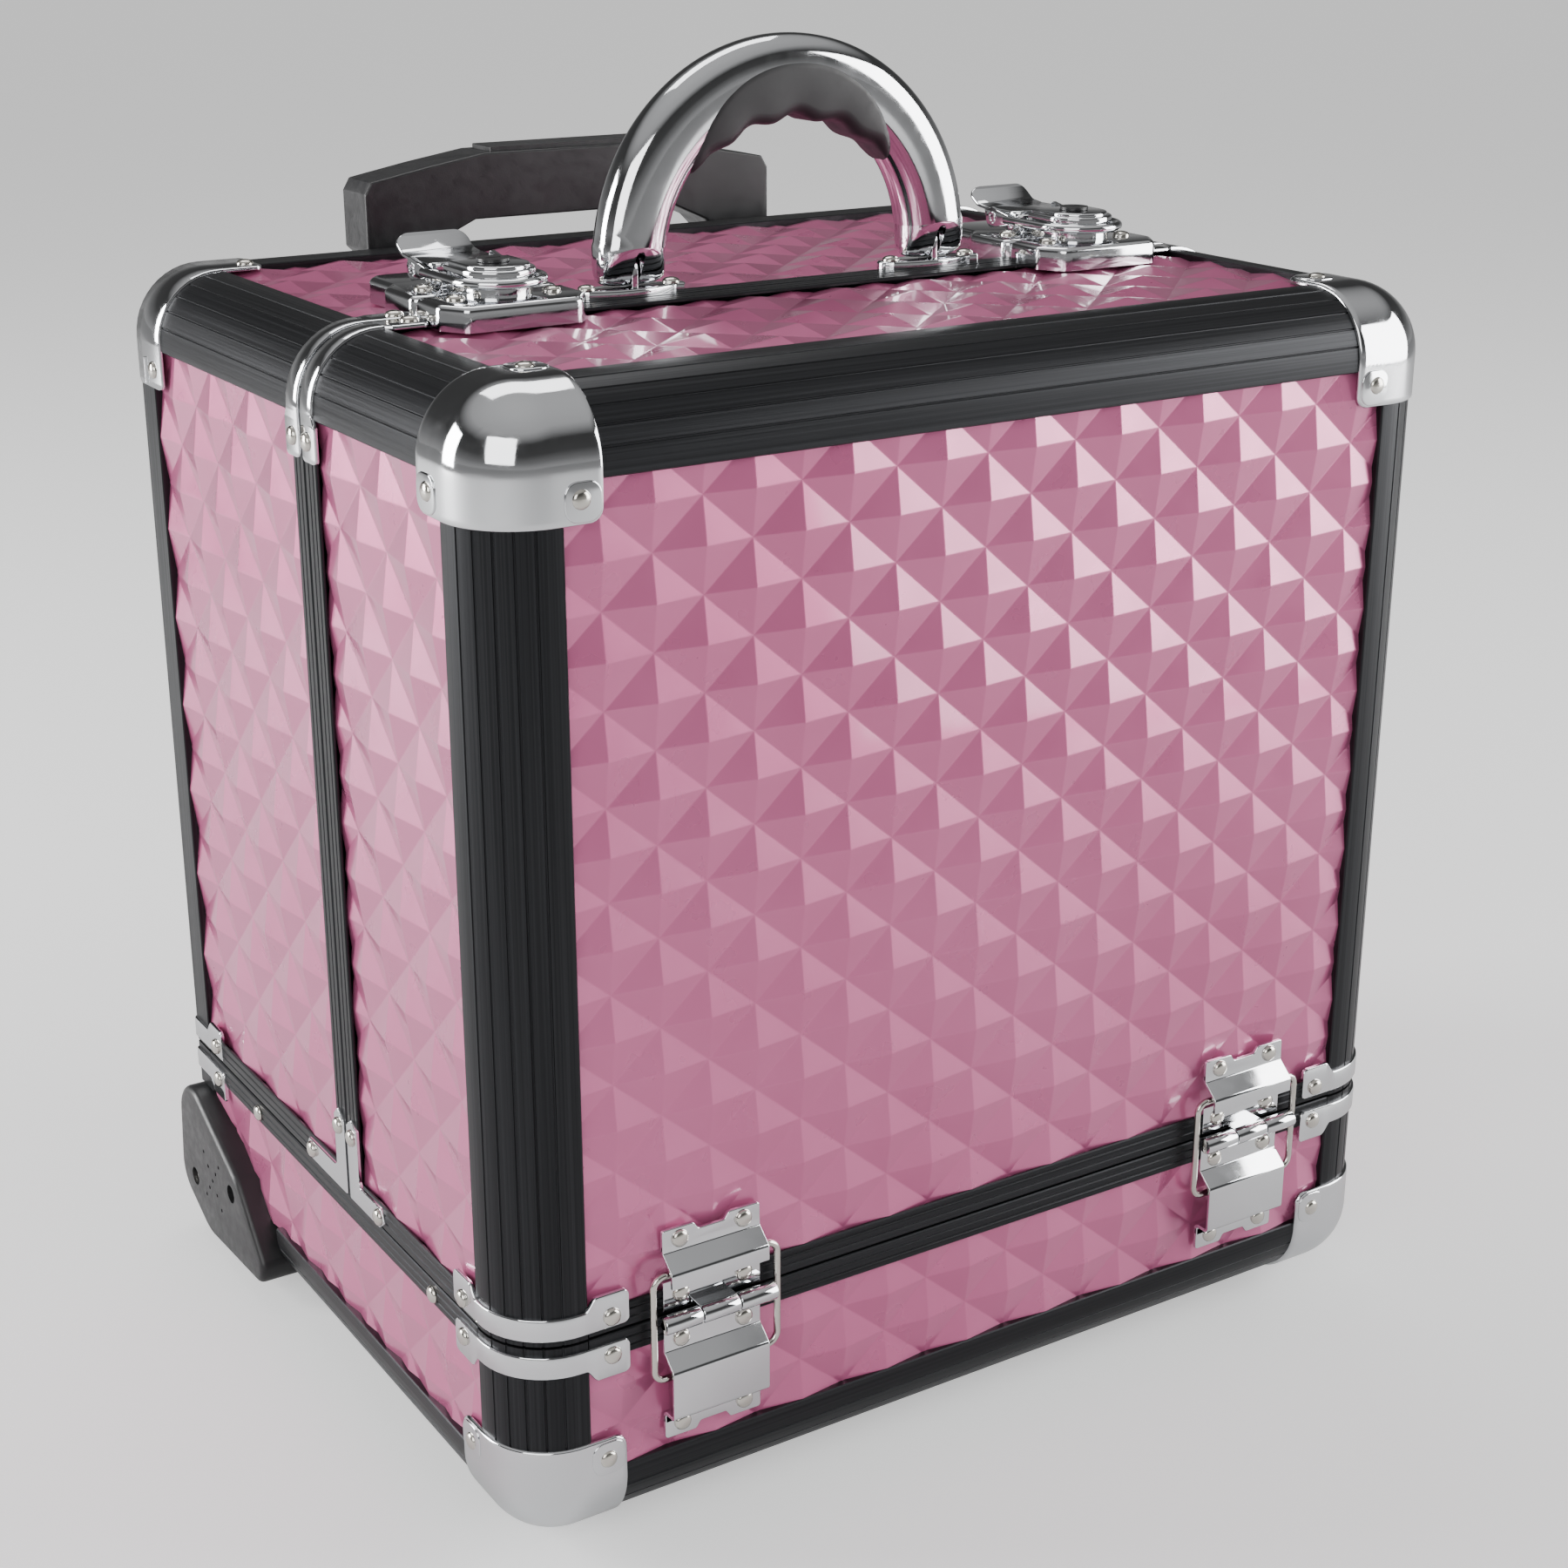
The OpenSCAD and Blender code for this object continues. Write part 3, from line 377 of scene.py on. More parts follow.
def facets(pitch):
    """One pyramid of the lattice: its polygons as arrays of (u, v, height, normal)."""
    left, right = np.array([-pitch[0] / 2, 0, 0]), np.array([pitch[0] / 2, 0, 0])
    low, high = np.array([0, -pitch[1] / 2, 0]), np.array([0, pitch[1] / 2, 0])
    apex = np.array([0, 0, VALLEY - PEAK])
    out = []
    for a, b in ((left, low), (low, right), (right, high), (high, left)):
        points = [a, b, apex]
        n = unit(np.cross(b - a, apex - a))
        ridges = [unit(np.array([n[0], 0, n[2]])), unit(np.array([0, n[1], n[2]]))]
        if abs(a[1]) < 1e-9:
            ridges.reverse()
        lengths = [np.linalg.norm(points[i - 1] - points[i - 2]) for i in range(3)]
        centre = sum(p * s for p, s in zip(points, lengths)) / sum(lengths)
        inradius = np.linalg.norm(np.cross(b - a, apex - a)) / sum(lengths)
        inner = [p + (centre - p) * (CREASE / inradius) for p in points]
        out.append([np.array([*p, *n]) for p in inner])
        for i, m in enumerate([np.array([0, 0, 1.0]), *ridges]):
            k = (i + 1) % 3
            out.append([np.array([*points[i], *m]), np.array([*points[k], *m]),
                        np.array([*inner[k], *n]), np.array([*inner[i], *n])])
    return out


def relief_panel(builder, origin, u_axis, v_axis, span_u, span_v, pitch, phase, holes=()):
    """An embossed board: relief outside, flat lining inside, closed at its edges.

    u_axis x v_axis points outwards; origin lies on the face of the profiles."""
    m = axes(origin, u_axis, v_axis, u_axis.cross(v_axis))
    turn = m.to_3x3()
    pyramid = facets(pitch)
    (u0, u1), (v0, v1) = span_u, span_v
    sides = [((-1, 0), -u0), ((1, 0), u1), ((0, -1), -v0), ((0, 1), v1)]
    back = -(BOARD_IN + BOARD_T)
    index = {}

    def corner(p):
        key = (round(p[0] * 1e7), round(p[1] * 1e7), round(p[2] * 1e7))
        if key not in index:
            index[key] = len(builder.points)
            builder.points.append(tuple(m @ Vector((p[0], p[1], p[2]))))
        return index[key]

    def face(points, normals, slot):
        ids = [corner(p) for p in points]
        keep = [i for i in range(len(ids)) if ids[i] != ids[i - 1]]
        if len(keep) < 3:
            return
        builder.faces.append([ids[i] for i in keep])
        builder.slots.append(slot)
        builder.normals += [tuple((turn @ Vector(normals[i])).normalized()) for i in keep]

    repeats = range(-40, 41)
    for i in repeats:
        for j in repeats:
            if (i + j) % 2:
                continue
            centre = np.array([phase[0] + (i + 1) * pitch[0] / 2, phase[1] + j * pitch[1] / 2])
            if not (u0 - pitch[0] < centre[0] < u1 + pitch[0]
                    and v0 - pitch[1] < centre[1] < v1 + pitch[1]):
                continue
            polygons = [[p + np.array([*centre, -VALLEY, 0, 0, 0]) for p in f] for f in pyramid]
            for a, c in sides:
                polygons = cut_all(polygons, a, c)
            for hole in holes:
                polygons = remove(polygons, hole)
            for q in polygons:
                face(q, [p[3:6] for p in q], 0)
                for p, r in zip(q, q[1:] + q[:1]):
                    for a, c in sides:
                        if all(abs(a[0] * s[0] + a[1] * s[1] - c) < 1e-7 for s in (p, r)):
                            wall = [p, [p[0], p[1], back], [r[0], r[1], back], r]
                            face(wall, [(*a, 0)] * 4, 1)
    flat = [[np.array(p) for p in ((u0, v0), (u1, v0), (u1, v1), (u0, v1))]]
    for hole in holes:
        flat = remove(flat, hole)
    for q in flat:
        face([(p[0], p[1], back) for p in reversed(q)], [(0, 0, -1)] * len(q), 1)


LIP = 2 * MM
FRONT_PITCH = (39.2 * MM, 34.5 * MM)
SIDE_PITCH = (40 * MM, 38.5 * MM)
TOP_PITCH = (39.2 * MM, 38 * MM)
FRONT_PHASE = (-68 * MM, 382 * MM)
SIDE_PHASE = (70 * MM, 335 * MM)
SPAN_X = (-HALF_W + EDGE_W - LIP, HALF_W - EDGE_W + LIP)
BACK_X = (-HALF_W + ANGLE_W - LIP, HALF_W - ANGLE_W + LIP)
UPPER_Z = (Z_UPPER + RIM_H - LIP, Z_TOP - EDGE_W + LIP)
LOWER_Z = (Z_BASE + EDGE_W - LIP, Z_RIM - RIM_H + LIP)
FORE_Y = (Y_FRONT + EDGE_W - LIP, Y_FORE - RIM_H + LIP)
REAR_Y = (Y_REAR + RIM_H - LIP, Y_BACK - ANGLE_W + LIP)
BASE_Y = (FORE_Y[0], REAR_Y[1])


def board(name, body, node, *reliefs):
    """The embossed boards of one node, each given by what relief_panel takes."""
    b = Builder()
    for relief in reliefs:
        relief_panel(b, *relief)
    b.build(name, [PINK, LINING], body, "embossed_panel", [node])


def side_boards(name, body, node, span_y, span_z, holes=()):
    """Left and right boards; the left one runs backwards so that it faces outwards."""
    back_y, back_phase = (-span_y[1], -span_y[0]), (-SIDE_PHASE[0], SIDE_PHASE[1])
    flipped = [[(-u, v) for u, v in reversed(hole)] for hole in holes]
    board(name, body, node,
          ((HALF_W, 0, 0), Y, Z, span_y, span_z, SIDE_PITCH, SIDE_PHASE, holes),
          ((-HALF_W, 0, 0), -Y, Z, back_y, span_z, SIDE_PITCH, back_phase, flipped))


def housing_outline():
    """The wheel housing's outline in (y, z), from its own points."""
    points = islands("wheel_housing_right")[0]
    return hull([(p[1], p[2]) for p in points if p[0] > HALF_W], 5, 1e-9)


def panels():
    """Every embossed board; those on one side of the case share one lattice."""
    front, back, top = (0, Y_FRONT, 0), (0, Y_BACK, 0), (0, 0, Z_TOP)
    upright = (FRONT_PITCH, FRONT_PHASE)
    level = (TOP_PITCH, (FRONT_PHASE[0], Y_FORE))
    board("front_panel", "front_half", "front_panel_board", (front, X, Z, SPAN_X, UPPER_Z, *upright))
    board("base_front_panel", "case", "base_front_board", (front, X, Z, SPAN_X, LOWER_Z, *upright))
    side_boards("front_side_panels", "front_half", "front_side_boards", FORE_Y, UPPER_Z)
    side_boards("rear_side_panels", "case", "rear_side_boards", REAR_Y, UPPER_Z)
    side_boards("base_side_panels", "case", "base_side_boards", BASE_Y, LOWER_Z, [housing_outline()])
    board("front_top_panel", "front_half", "front_top_board", (top, X, Y, SPAN_X, FORE_Y, *level))
    board("rear_top_panel", "case", "rear_top_board", (top, X, Y, SPAN_X, REAR_Y, *level))
    back_z = (UPPER_Z[0], Z_TOP - ANGLE_W + LIP)
    board("rear_back_panel", "case", "rear_back_board", (back, -X, Z, BACK_X, back_z, *upright))
    back_z = (Z_BASE + ANGLE_W - LIP, LOWER_Z[1])
    inner, above = HALF_W - WELL_IN, Z_BASE + WELL_UP
    wells = [[(s * inner, 0), (s * HALF_W, 0), (s * HALF_W, above), (s * inner, above)][::s]
             for s in (-1, 1)]
    board("base_back_panel", "case", "base_back_board", (back, -X, Z, BACK_X, back_z, *upright, wells))


panels()


# ---- Profiles ----


def arc(centre, radius, start, end, step=5.0):
    """Points on an arc, angles in degrees."""
    n = max(2, int(round(abs(end - start) / step)) + 1)
    return [(centre[0] + radius * math.cos(math.radians(a)),
             centre[1] + radius * math.sin(math.radians(a))) for a in np.linspace(start, end, n)]


def edge_section():
    """Rounded edge profile with ribs, its outer corner at the origin, anticlockwise."""
    groove = math.degrees(0.45 * MM / EDGE_R)
    ribs = [195 + 15 * i for i in range(5)]
    angles = {round(180 + 5 * i, 3): 0.0 for i in range(19)}
    for rib in ribs:
        angles = {a: d for a, d in angles.items() if abs(a - rib) > 1.6 * groove}
        for k, depth in ((-1, 0), (-0.6, 0.36), (0, 0.45), (0.6, 0.36), (1, 0)):
            angles[round(rib + k * groove, 3)] = depth * MM
    outer = []
    for a in sorted(angles):
        r = EDGE_R - angles[a]
        outer.append((EDGE_R + r * math.cos(math.radians(a)), EDGE_R + r * math.sin(math.radians(a))))
    bead = 0.5 * MM
    lip_low = [(EDGE_W - bead, 0), (EDGE_W, bead), (EDGE_W, LIP_T), (EDGE_W - LIP_T, LIP_T),
               (EDGE_W - LIP_T, SKIN)]
    lip_high = [(b, a) for a, b in reversed(lip_low)]
    inner = arc((EDGE_R, EDGE_R), EDGE_R - SKIN, 270, 180, 10)
    return outer + lip_low + inner + lip_high


def angle_section():
    """Flat angle profile with its outer corner at the origin."""
    b = 0.4 * MM
    leg = [(b, 0), (ANGLE_W - b, 0), (ANGLE_W, b), (ANGLE_W, LIP_T), (ANGLE_W - SKIN, LIP_T),
           (ANGLE_W - SKIN, SKIN)]
    return leg + [(SKIN, SKIN)] + [(b, a) for a, b in reversed(leg)]


def rim_section():
    """Channel on the edge of a board: depth from the face, and height along it."""
    b, g = 0.5 * MM, 0.45 * MM
    side = [(0, b)]
    for v in (3 * MM, 6.5 * MM):
        side += [(0, v - g), (g, v), (0, v + g)]
    side += [(0, RIM_H - b), (b, RIM_H), (RIM_D - b, RIM_H), (RIM_D, RIM_H - b), (RIM_D, 0)]
    side += [(RIM_D - SKIN, 0), (RIM_D - SKIN, RIM_H - SKIN), (SKIN, RIM_H - SKIN), (SKIN, 0)]
    return list(reversed(side + [(b, 0)]))


def bar(builder, outline, matrix, length):
    """A bar of one section; UVs hold the length and the girth for the drawn streaks."""
    n = len(outline)
    girth = [0.0]
    for i in range(n):
        p, q = outline[i], outline[(i + 1) % n]
        girth.append(girth[-1] + math.hypot(q[0] - p[0], q[1] - p[1]))
    points = [(p[0], p[1], z) for z in (JOINT, length - JOINT) for p in outline]
    first = len(builder.points)
    flip = matrix.determinant() < 0
    builder.points += [tuple(matrix @ Vector(p)) for p in points]
    faces = [(i, (i + 1) % n, n + (i + 1) % n, n + i) for i in range(n)]
    faces += [tuple(reversed(range(n))), tuple(range(n, 2 * n))]
    for f, face in enumerate(faces):
        corners = []
        for k in face:
            g = girth[f + 1] if f < n and k % n == (f + 1) % n else girth[k % n]
            corners.append((k, (points[k][2] + 0.37 * first * MM, g)))
        if flip:
            corners.reverse()
        builder.faces.append([first + k for k, _ in corners])
        builder.slots.append(0)
        builder.uvs += [uv for _, uv in corners]


def both(matrix):
    """The matrix and its mirror image across the middle plane."""
    mirror = Matrix.Diagonal((-1, 1, 1, 1))
    return [matrix, mirror @ matrix]


def build_profiles():
    """Every bar of the three frames, from its section, its corner, its axes and its length."""
    edge, angle, rim = edge_section(), angle_section(), rim_section()
    w = 2 * (HALF_W - EDGE_W)
    x0 = -HALF_W + EDGE_W

    def run(builder, outline, origin, a, b, c, length, pair=False):
        m = axes(origin, a, b, c)
        for each in both(m) if pair else [m]:
            bar(builder, outline, each, length)

    base = Builder()
    y_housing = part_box("wheel_housing_left")[0].y - 0.3 * MM
    run(base, edge, (x0, Y_FRONT, Z_BASE), Y, Z, X, w)
    run(base, rim, (x0, Y_FRONT, Z_RIM - RIM_H), Y, Z, X, w)
    back_w = 2 * (HALF_W - ANGLE_W)
    run(base, rim, (-HALF_W + ANGLE_W, Y_BACK, Z_RIM - RIM_H), -Y, Z, X, back_w)
    run(base, angle, (-HALF_W + 40 * MM, Y_BACK, Z_BASE), -Y, Z, X, 2 * HALF_W - 80 * MM)
    run(base, edge, (-HALF_W, Y_FRONT, Z_BASE + EDGE_W), X, Y, Z, Z_RIM - Z_BASE - EDGE_W, True)
    y_edge = Y_FRONT + EDGE_W
    run(base, edge, (-HALF_W, y_edge, Z_BASE), X, Z, Y, y_housing - y_edge, True)
    run(base, rim, (-HALF_W, y_edge, Z_RIM - RIM_H), X, Z, Y, Y_BACK - ANGLE_W - y_edge, True)
    z_low = Z_BASE + WELL_UP
    run(base, angle, (-HALF_W, Y_BACK, z_low), X, -Y, Z, Z_RIM - z_low, True)
    base.build("base_bars", [PROFILE], "case", "black_profile", ["base_profiles"])

    rear = Builder()
    run(rear, rim, (-HALF_W + ANGLE_W, Y_BACK, Z_UPPER + RIM_H), -Y, -Z, X, back_w)
    run(rear, angle, (x0, Y_BACK, Z_TOP), -Y, -Z, X, w)
    run(rear, rim, (x0, Y_REAR + RIM_H, Z_TOP), -Z, -Y, X, w)
    run(rear, edge, (-HALF_W, Y_REAR, Z_TOP), X, -Z, Y, Y_BACK - Y_REAR, True)
    y_rim = Y_REAR + RIM_H
    run(rear, rim, (-HALF_W, y_rim, Z_UPPER + RIM_H), X, -Z, Y, Y_BACK - ANGLE_W - y_rim, True)
    z_len = Z_TOP - EDGE_W - Z_UPPER
    run(rear, rim, (-HALF_W, y_rim, Z_UPPER), X, -Y, Z, z_len, True)
    run(rear, angle, (-HALF_W, Y_BACK, Z_UPPER), X, -Y, Z, z_len, True)
    # Flat end caps behind the open ends of the rounded top profiles
    sunk = 0.3 * MM
    cap = [(EDGE_W, sunk), (EDGE_W, EDGE_W), (sunk, EDGE_W)]
    cap += arc((EDGE_R, EDGE_R), EDGE_R - sunk, 180, 270, 7.5)
    for m in both(axes((-HALF_W, Y_BACK - SKIN, Z_TOP), X, -Z, Y)):
        bar(rear, cap, m, SKIN)
    rear.build("rear_bars", [PROFILE], "case", "black_profile", ["rear_profiles"])

    front = Builder()
    run(front, edge, (x0, Y_FRONT, Z_TOP), Y, -Z, X, w)
    run(front, rim, (x0, Y_FRONT, Z_UPPER + RIM_H), Y, -Z, X, w)
    run(front, rim, (x0, Y_FORE - RIM_H, Z_TOP), -Z, Y, X, w)
    run(front, edge, (-HALF_W, Y_FRONT, Z_UPPER), X, Y, Z, z_len, True)
    run(front, edge, (-HALF_W, y_edge, Z_TOP), X, -Z, Y, Y_FORE - y_edge, True)
    y_len = Y_FORE - RIM_H - y_edge
    run(front, rim, (-HALF_W, y_edge, Z_UPPER + RIM_H), X, -Z, Y, y_len, True)
    run(front, rim, (-HALF_W, Y_FORE - RIM_H, Z_UPPER), X, Y, Z, z_len, True)
    front.build("front_bars", [PROFILE], "front_half", "black_profile", ["front_profiles"])


build_profiles()


# ---- Ball corners ----


def circle(turns):
    """Cosine and sine of angles spread evenly over a full turn."""
    angles = [2 * math.pi * k / turns for k in range(turns)]
    return [(math.cos(a), math.sin(a)) for a in angles]


def corner_distance(points):
    """Signed distance to the rounded box corner at the origin."""
    q = EDGE_R - points
    outside = np.linalg.norm(np.maximum(q, 0), axis=-1)
    return outside + np.minimum(q.max(-1), 0) - EDGE_R


def bisect(low, high, steps, inside):
    """Where, from low to high, the test inside stops being true."""
    for _ in range(steps):
        middle = (low + high) / 2
        if inside(middle):
            low = middle
        else:
            high = middle
    return low


def corner_point(direction, lift):
    """Where a ray from well inside the corner meets the surface raised by lift."""
    eye = np.full(3, 60 * MM)
    return eye + direction * bisect(
        0.0, 200 * MM, 40, lambda d: corner_distance(eye + direction * d) < lift)


def ball_corner_rows():
    """Rings from the tip of the corner out to its edge: straight ends and round ears."""
    reach, ear = 43.5 * MM, 5 * MM
    turns, rings = 144, 18
    axis = unit(np.array([-1.0, -1.0, -1.0]))
    side = unit(np.array([1.0, -1.0, 0.0]))
    other = np.cross(axis, side)

    def beyond(p):
        worst = -1.0
        for i, j in ((0, 1), (1, 2), (2, 0)):
            q = np.array([p[i], p[j]]) - (reach - ear)
            worst = max(worst, np.linalg.norm(np.maximum(q, 0)) + min(q.max(), 0) - ear)
        return worst

    rows = [[] for _ in range(rings + 4)]
    for c, s in circle(turns):
        out = side * c + other * s

        def at(angle, lift):
            return corner_point(axis * math.cos(angle) + out * math.sin(angle), lift)

        end = bisect(0.05, 1.5, 30, lambda a: beyond(at(a, PLATE_T)) < 0)
        for i in range(rings):
            rows[i].append(tuple(at(max(end * i / (rings - 1), 1e-3), PLATE_T)))
        for i, (grow, lift) in enumerate(((0.004, 1.05), (0.0065, 0.75), (0.008, 0.4), (0.008, 0))):
            rows[rings + i].append(tuple(at(end + grow, lift * MM)))
    return rows


def inset(outline, d):
    """An anticlockwise outline moved inwards by d."""
    out = []
    n = len(outline)
    for i in range(n):
        p, q, r = (np.array(outline[(i + k) % n]) for k in (-1, 0, 1))
        a, b = unit(q - p), unit(r - q)
        na, nb = np.array([-a[1], a[0]]), np.array([-b[1], b[0]])
        s = unit(na + nb)
        out.append(tuple(q + s * d / max(0.5, s @ na)))
    return out


def prism(builder, matrix, outline, low, high, soft_high=0.3 * MM, soft_low=0.0):
    """A solid over an anticlockwise outline, with rounded upper and lower rims."""
    area = sum(p[0] * q[1] - q[0] * p[1] for p, q in zip(outline, outline[1:] + outline[:1]))
    if area < 0:
        outline = outline[::-1]
    turns = [math.radians(a) for a in (0, 22.5, 45, 67.5, 90)]
    rings = [(0, low)]
    if soft_low:
        rings = [(soft_low * (1 - math.sin(a)), low + soft_low * (1 - math.cos(a))) for a in turns]
    rings += [(soft_high * (1 - math.cos(a)), high - soft_high * (1 - math.sin(a))) for a in turns]
    rows = [[(*p, h) for p in inset(outline, d)] for d, h in rings]
    builder.grid(rows, matrix, caps=True)


def fillet(points, radius, step=15.0):
    """A closed outline with its corners rounded; radius is one value or one per corner."""
    out = []
    n = len(points)
    for i in range(n):
        p, q, r = (np.array(points[(i + k) % n]) for k in (-1, 0, 1))
        size = radius[i] if isinstance(radius, (list, tuple)) else radius
        a, b = unit(p - q), unit(r - q)
        turn = math.pi - math.acos(max(-1, min(1, a @ b)))
        reach = size * math.tan(turn / 2)
        limit = 0.48 * min(np.linalg.norm(p - q), np.linalg.norm(r - q))
        if size <= 0 or turn < 0.02:
            out.append(tuple(q))
            continue
        if reach > limit:
            size, reach = size * limit / reach, limit
        start, end = q + a * reach, q + b * reach
        centre = q + unit(a + b) * size / math.cos(turn / 2)
        steps = max(1, round(math.degrees(turn) / step))
        for k in range(steps + 1):
            v = (start - centre) * math.sin((1 - k / steps) * turn)
            v = v + (end - centre) * math.sin(k / steps * turn)
            out.append(tuple(centre + v / math.sin(turn)))
    return out


def bent(path, radius, step=15.0):
    """An open path with rounded bends."""
    return fillet(path, [0] + [radius] * (len(path) - 2) + [0], step)


def ribbon(path, thickness, radius):
    """Closed outline of a sheet of one thickness folded along a path."""
    path = [np.array(p) for p in bent(path, radius)]
    left, right = [], []
    for i, p in enumerate(path):
        before = unit(p - path[i - 1]) if i else unit(path[1] - p)
        after = unit(path[i + 1] - p) if i < len(path) - 1 else before
        t = unit(before + after)
        n = np.array([-t[1], t[0]]) * thickness / 2 / max(0.6, t @ before)
        left.append(tuple(p + n))
        right.append(tuple(p - n))
    return left + right[::-1]


def wire(builder, matrix, points, radius, closed=False):
    """A round wire through points, with flat ends where it is open."""
    pts = [Vector(p) for p in points]
    n = len(pts)
    tangents = []
    for i in range(n):
        a = pts[i - 1] if (i or closed) else pts[0]
        b = pts[(i + 1) % n] if (i < n - 1 or closed) else pts[-1]
        tangents.append((b - a).normalized())
    up = tangents[0].orthogonal().normalized()
    rows = []
    for p, t in zip(pts, tangents):
        up = (up - t * up.dot(t)).normalized()
        side = t.cross(up)
        rows.append([tuple(p + (up * c + side * s) * radius) for c, s in circle(16)])
    if closed:
        rows.append(rows[0])
    builder.grid(rows, matrix, caps=not closed)


def rounded_rectangle(x0, x1, y0, y1, radius, step=15.0):
    """Outline with round corners, anticlockwise."""
    out = []
    for cx, cy, a in ((x1 - radius, y0 + radius, -90), (x1 - radius, y1 - radius, 0),
                      (x0 + radius, y1 - radius, 90), (x0 + radius, y0 + radius, 180)):
        out += arc((cx, cy), radius, a, a + 90, step)
    return out


def ball_corners():
    """Pressed caps on the four front corners, with a flat seat for the rivet on each face."""
    rows = ball_corner_rows()
    near, far = 29.5 * MM, 43.2 * MM
    seat = rounded_rectangle(near, far, near, far, 4.8 * MM)
    for name, body, z, up, node in (
        ("base_corners", "case", Z_BASE, 1, "base_ball_corners"),
        ("front_corners", "front_half", Z_TOP, -1, "front_ball_corners"),
    ):
        b = Builder()
        for m in both(axes((-HALF_W, Y_FRONT, z), X, Y, Z * up)):
            b.grid(rows, m)
            b.add(rows[0], [tuple(range(len(rows[0])))], m)
            for u, v, w in ((X, Y, Z), (Y, Z, X), (Z, X, Y)):
                prism(b, m @ axes((0, 0, 0), u, v, -w), seat, -1 * MM, 1.75 * MM, 0.55 * MM)
        b.build(name, [CHROME], body, "chrome_steel", [node], sharp=40)


ball_corners()


# ---- Straps and seam brackets ----


def strap_path(reach, radius=EDGE_R):
    """Path round an edge in its own plane: (distance, point, outward normal)."""
    pts = []
    for d in np.linspace(reach, radius, 10)[:-1]:
        pts.append(((0.0, d), (-1.0, 0.0)))
    for a in np.linspace(180, 270, 13):
        n = (math.cos(math.radians(a)), math.sin(math.radians(a)))
        pts.append(((radius + radius * n[0], radius + radius * n[1]), n))
    for d in np.linspace(radius, reach, 10)[1:]:
        pts.append(((d, 0.0), (0.0, -1.0)))
    out, run = [], 0.0
    for i, (p, n) in enumerate(pts):
        if i:
            run += math.dist(p, pts[i - 1][0])
        out.append((run, p, n))
    return out


def strap(builder, matrix, path, low, high, ear=0.0, ear_low=0.0, ear_high=0.0,
          thickness=PLATE_T, tip=2 * MM, under=0.3 * MM):
    """A pressed band along a path, with wider round-cornered ears at both ends."""
    blend = 5 * MM
    total = path[-1][0]
    marks = [total - s for s in (0, 1e-4)] + [s for s, _, _ in path]
    for k in range(9):
        for d in (tip * (1 - math.cos(math.pi / 2 * k / 8)), ear + blend * k / 8):
            marks += [d, total - d]
    stations = sorted(set(round(s, 6) for s in marks if 0 <= s <= total))
    run = np.array([s for s, _, _ in path])
    ps = np.array([p for _, p, _ in path])
    ns = np.array([n for _, _, n in path])
    rows = []
    for s in stations:
        p = [np.interp(s, run, ps[:, i]) for i in (0, 1)]
        n = unit(np.array([np.interp(s, run, ns[:, i]) for i in (0, 1)]))
        d = min(s, total - s)
        wide = 1 - min(1, max(0, (d - ear) / blend))
        wide = wide * wide * (3 - 2 * wide) if ear else 0
        lo = low + (ear_low - low) * wide
        hi = high + (ear_high - high) * wide
        cut_back = tip - math.sqrt(max(tip * tip - max(0, tip - d) ** 2, 0))
        lo, hi = lo + cut_back, hi - cut_back
        t = thickness
        cross = [(lo, -under), (lo, 0.55 * t), (lo + 0.12 * t, 0.8 * t), (lo + 0.45 * t, t),
                 (hi - 0.45 * t, t), (hi - 0.12 * t, 0.8 * t), (hi, 0.55 * t), (hi, -under)]
        rows.append([(p[0] + n[0] * h, p[1] + n[1] * h, v) for v, h in cross])
    builder.grid(rows, matrix, caps=True)


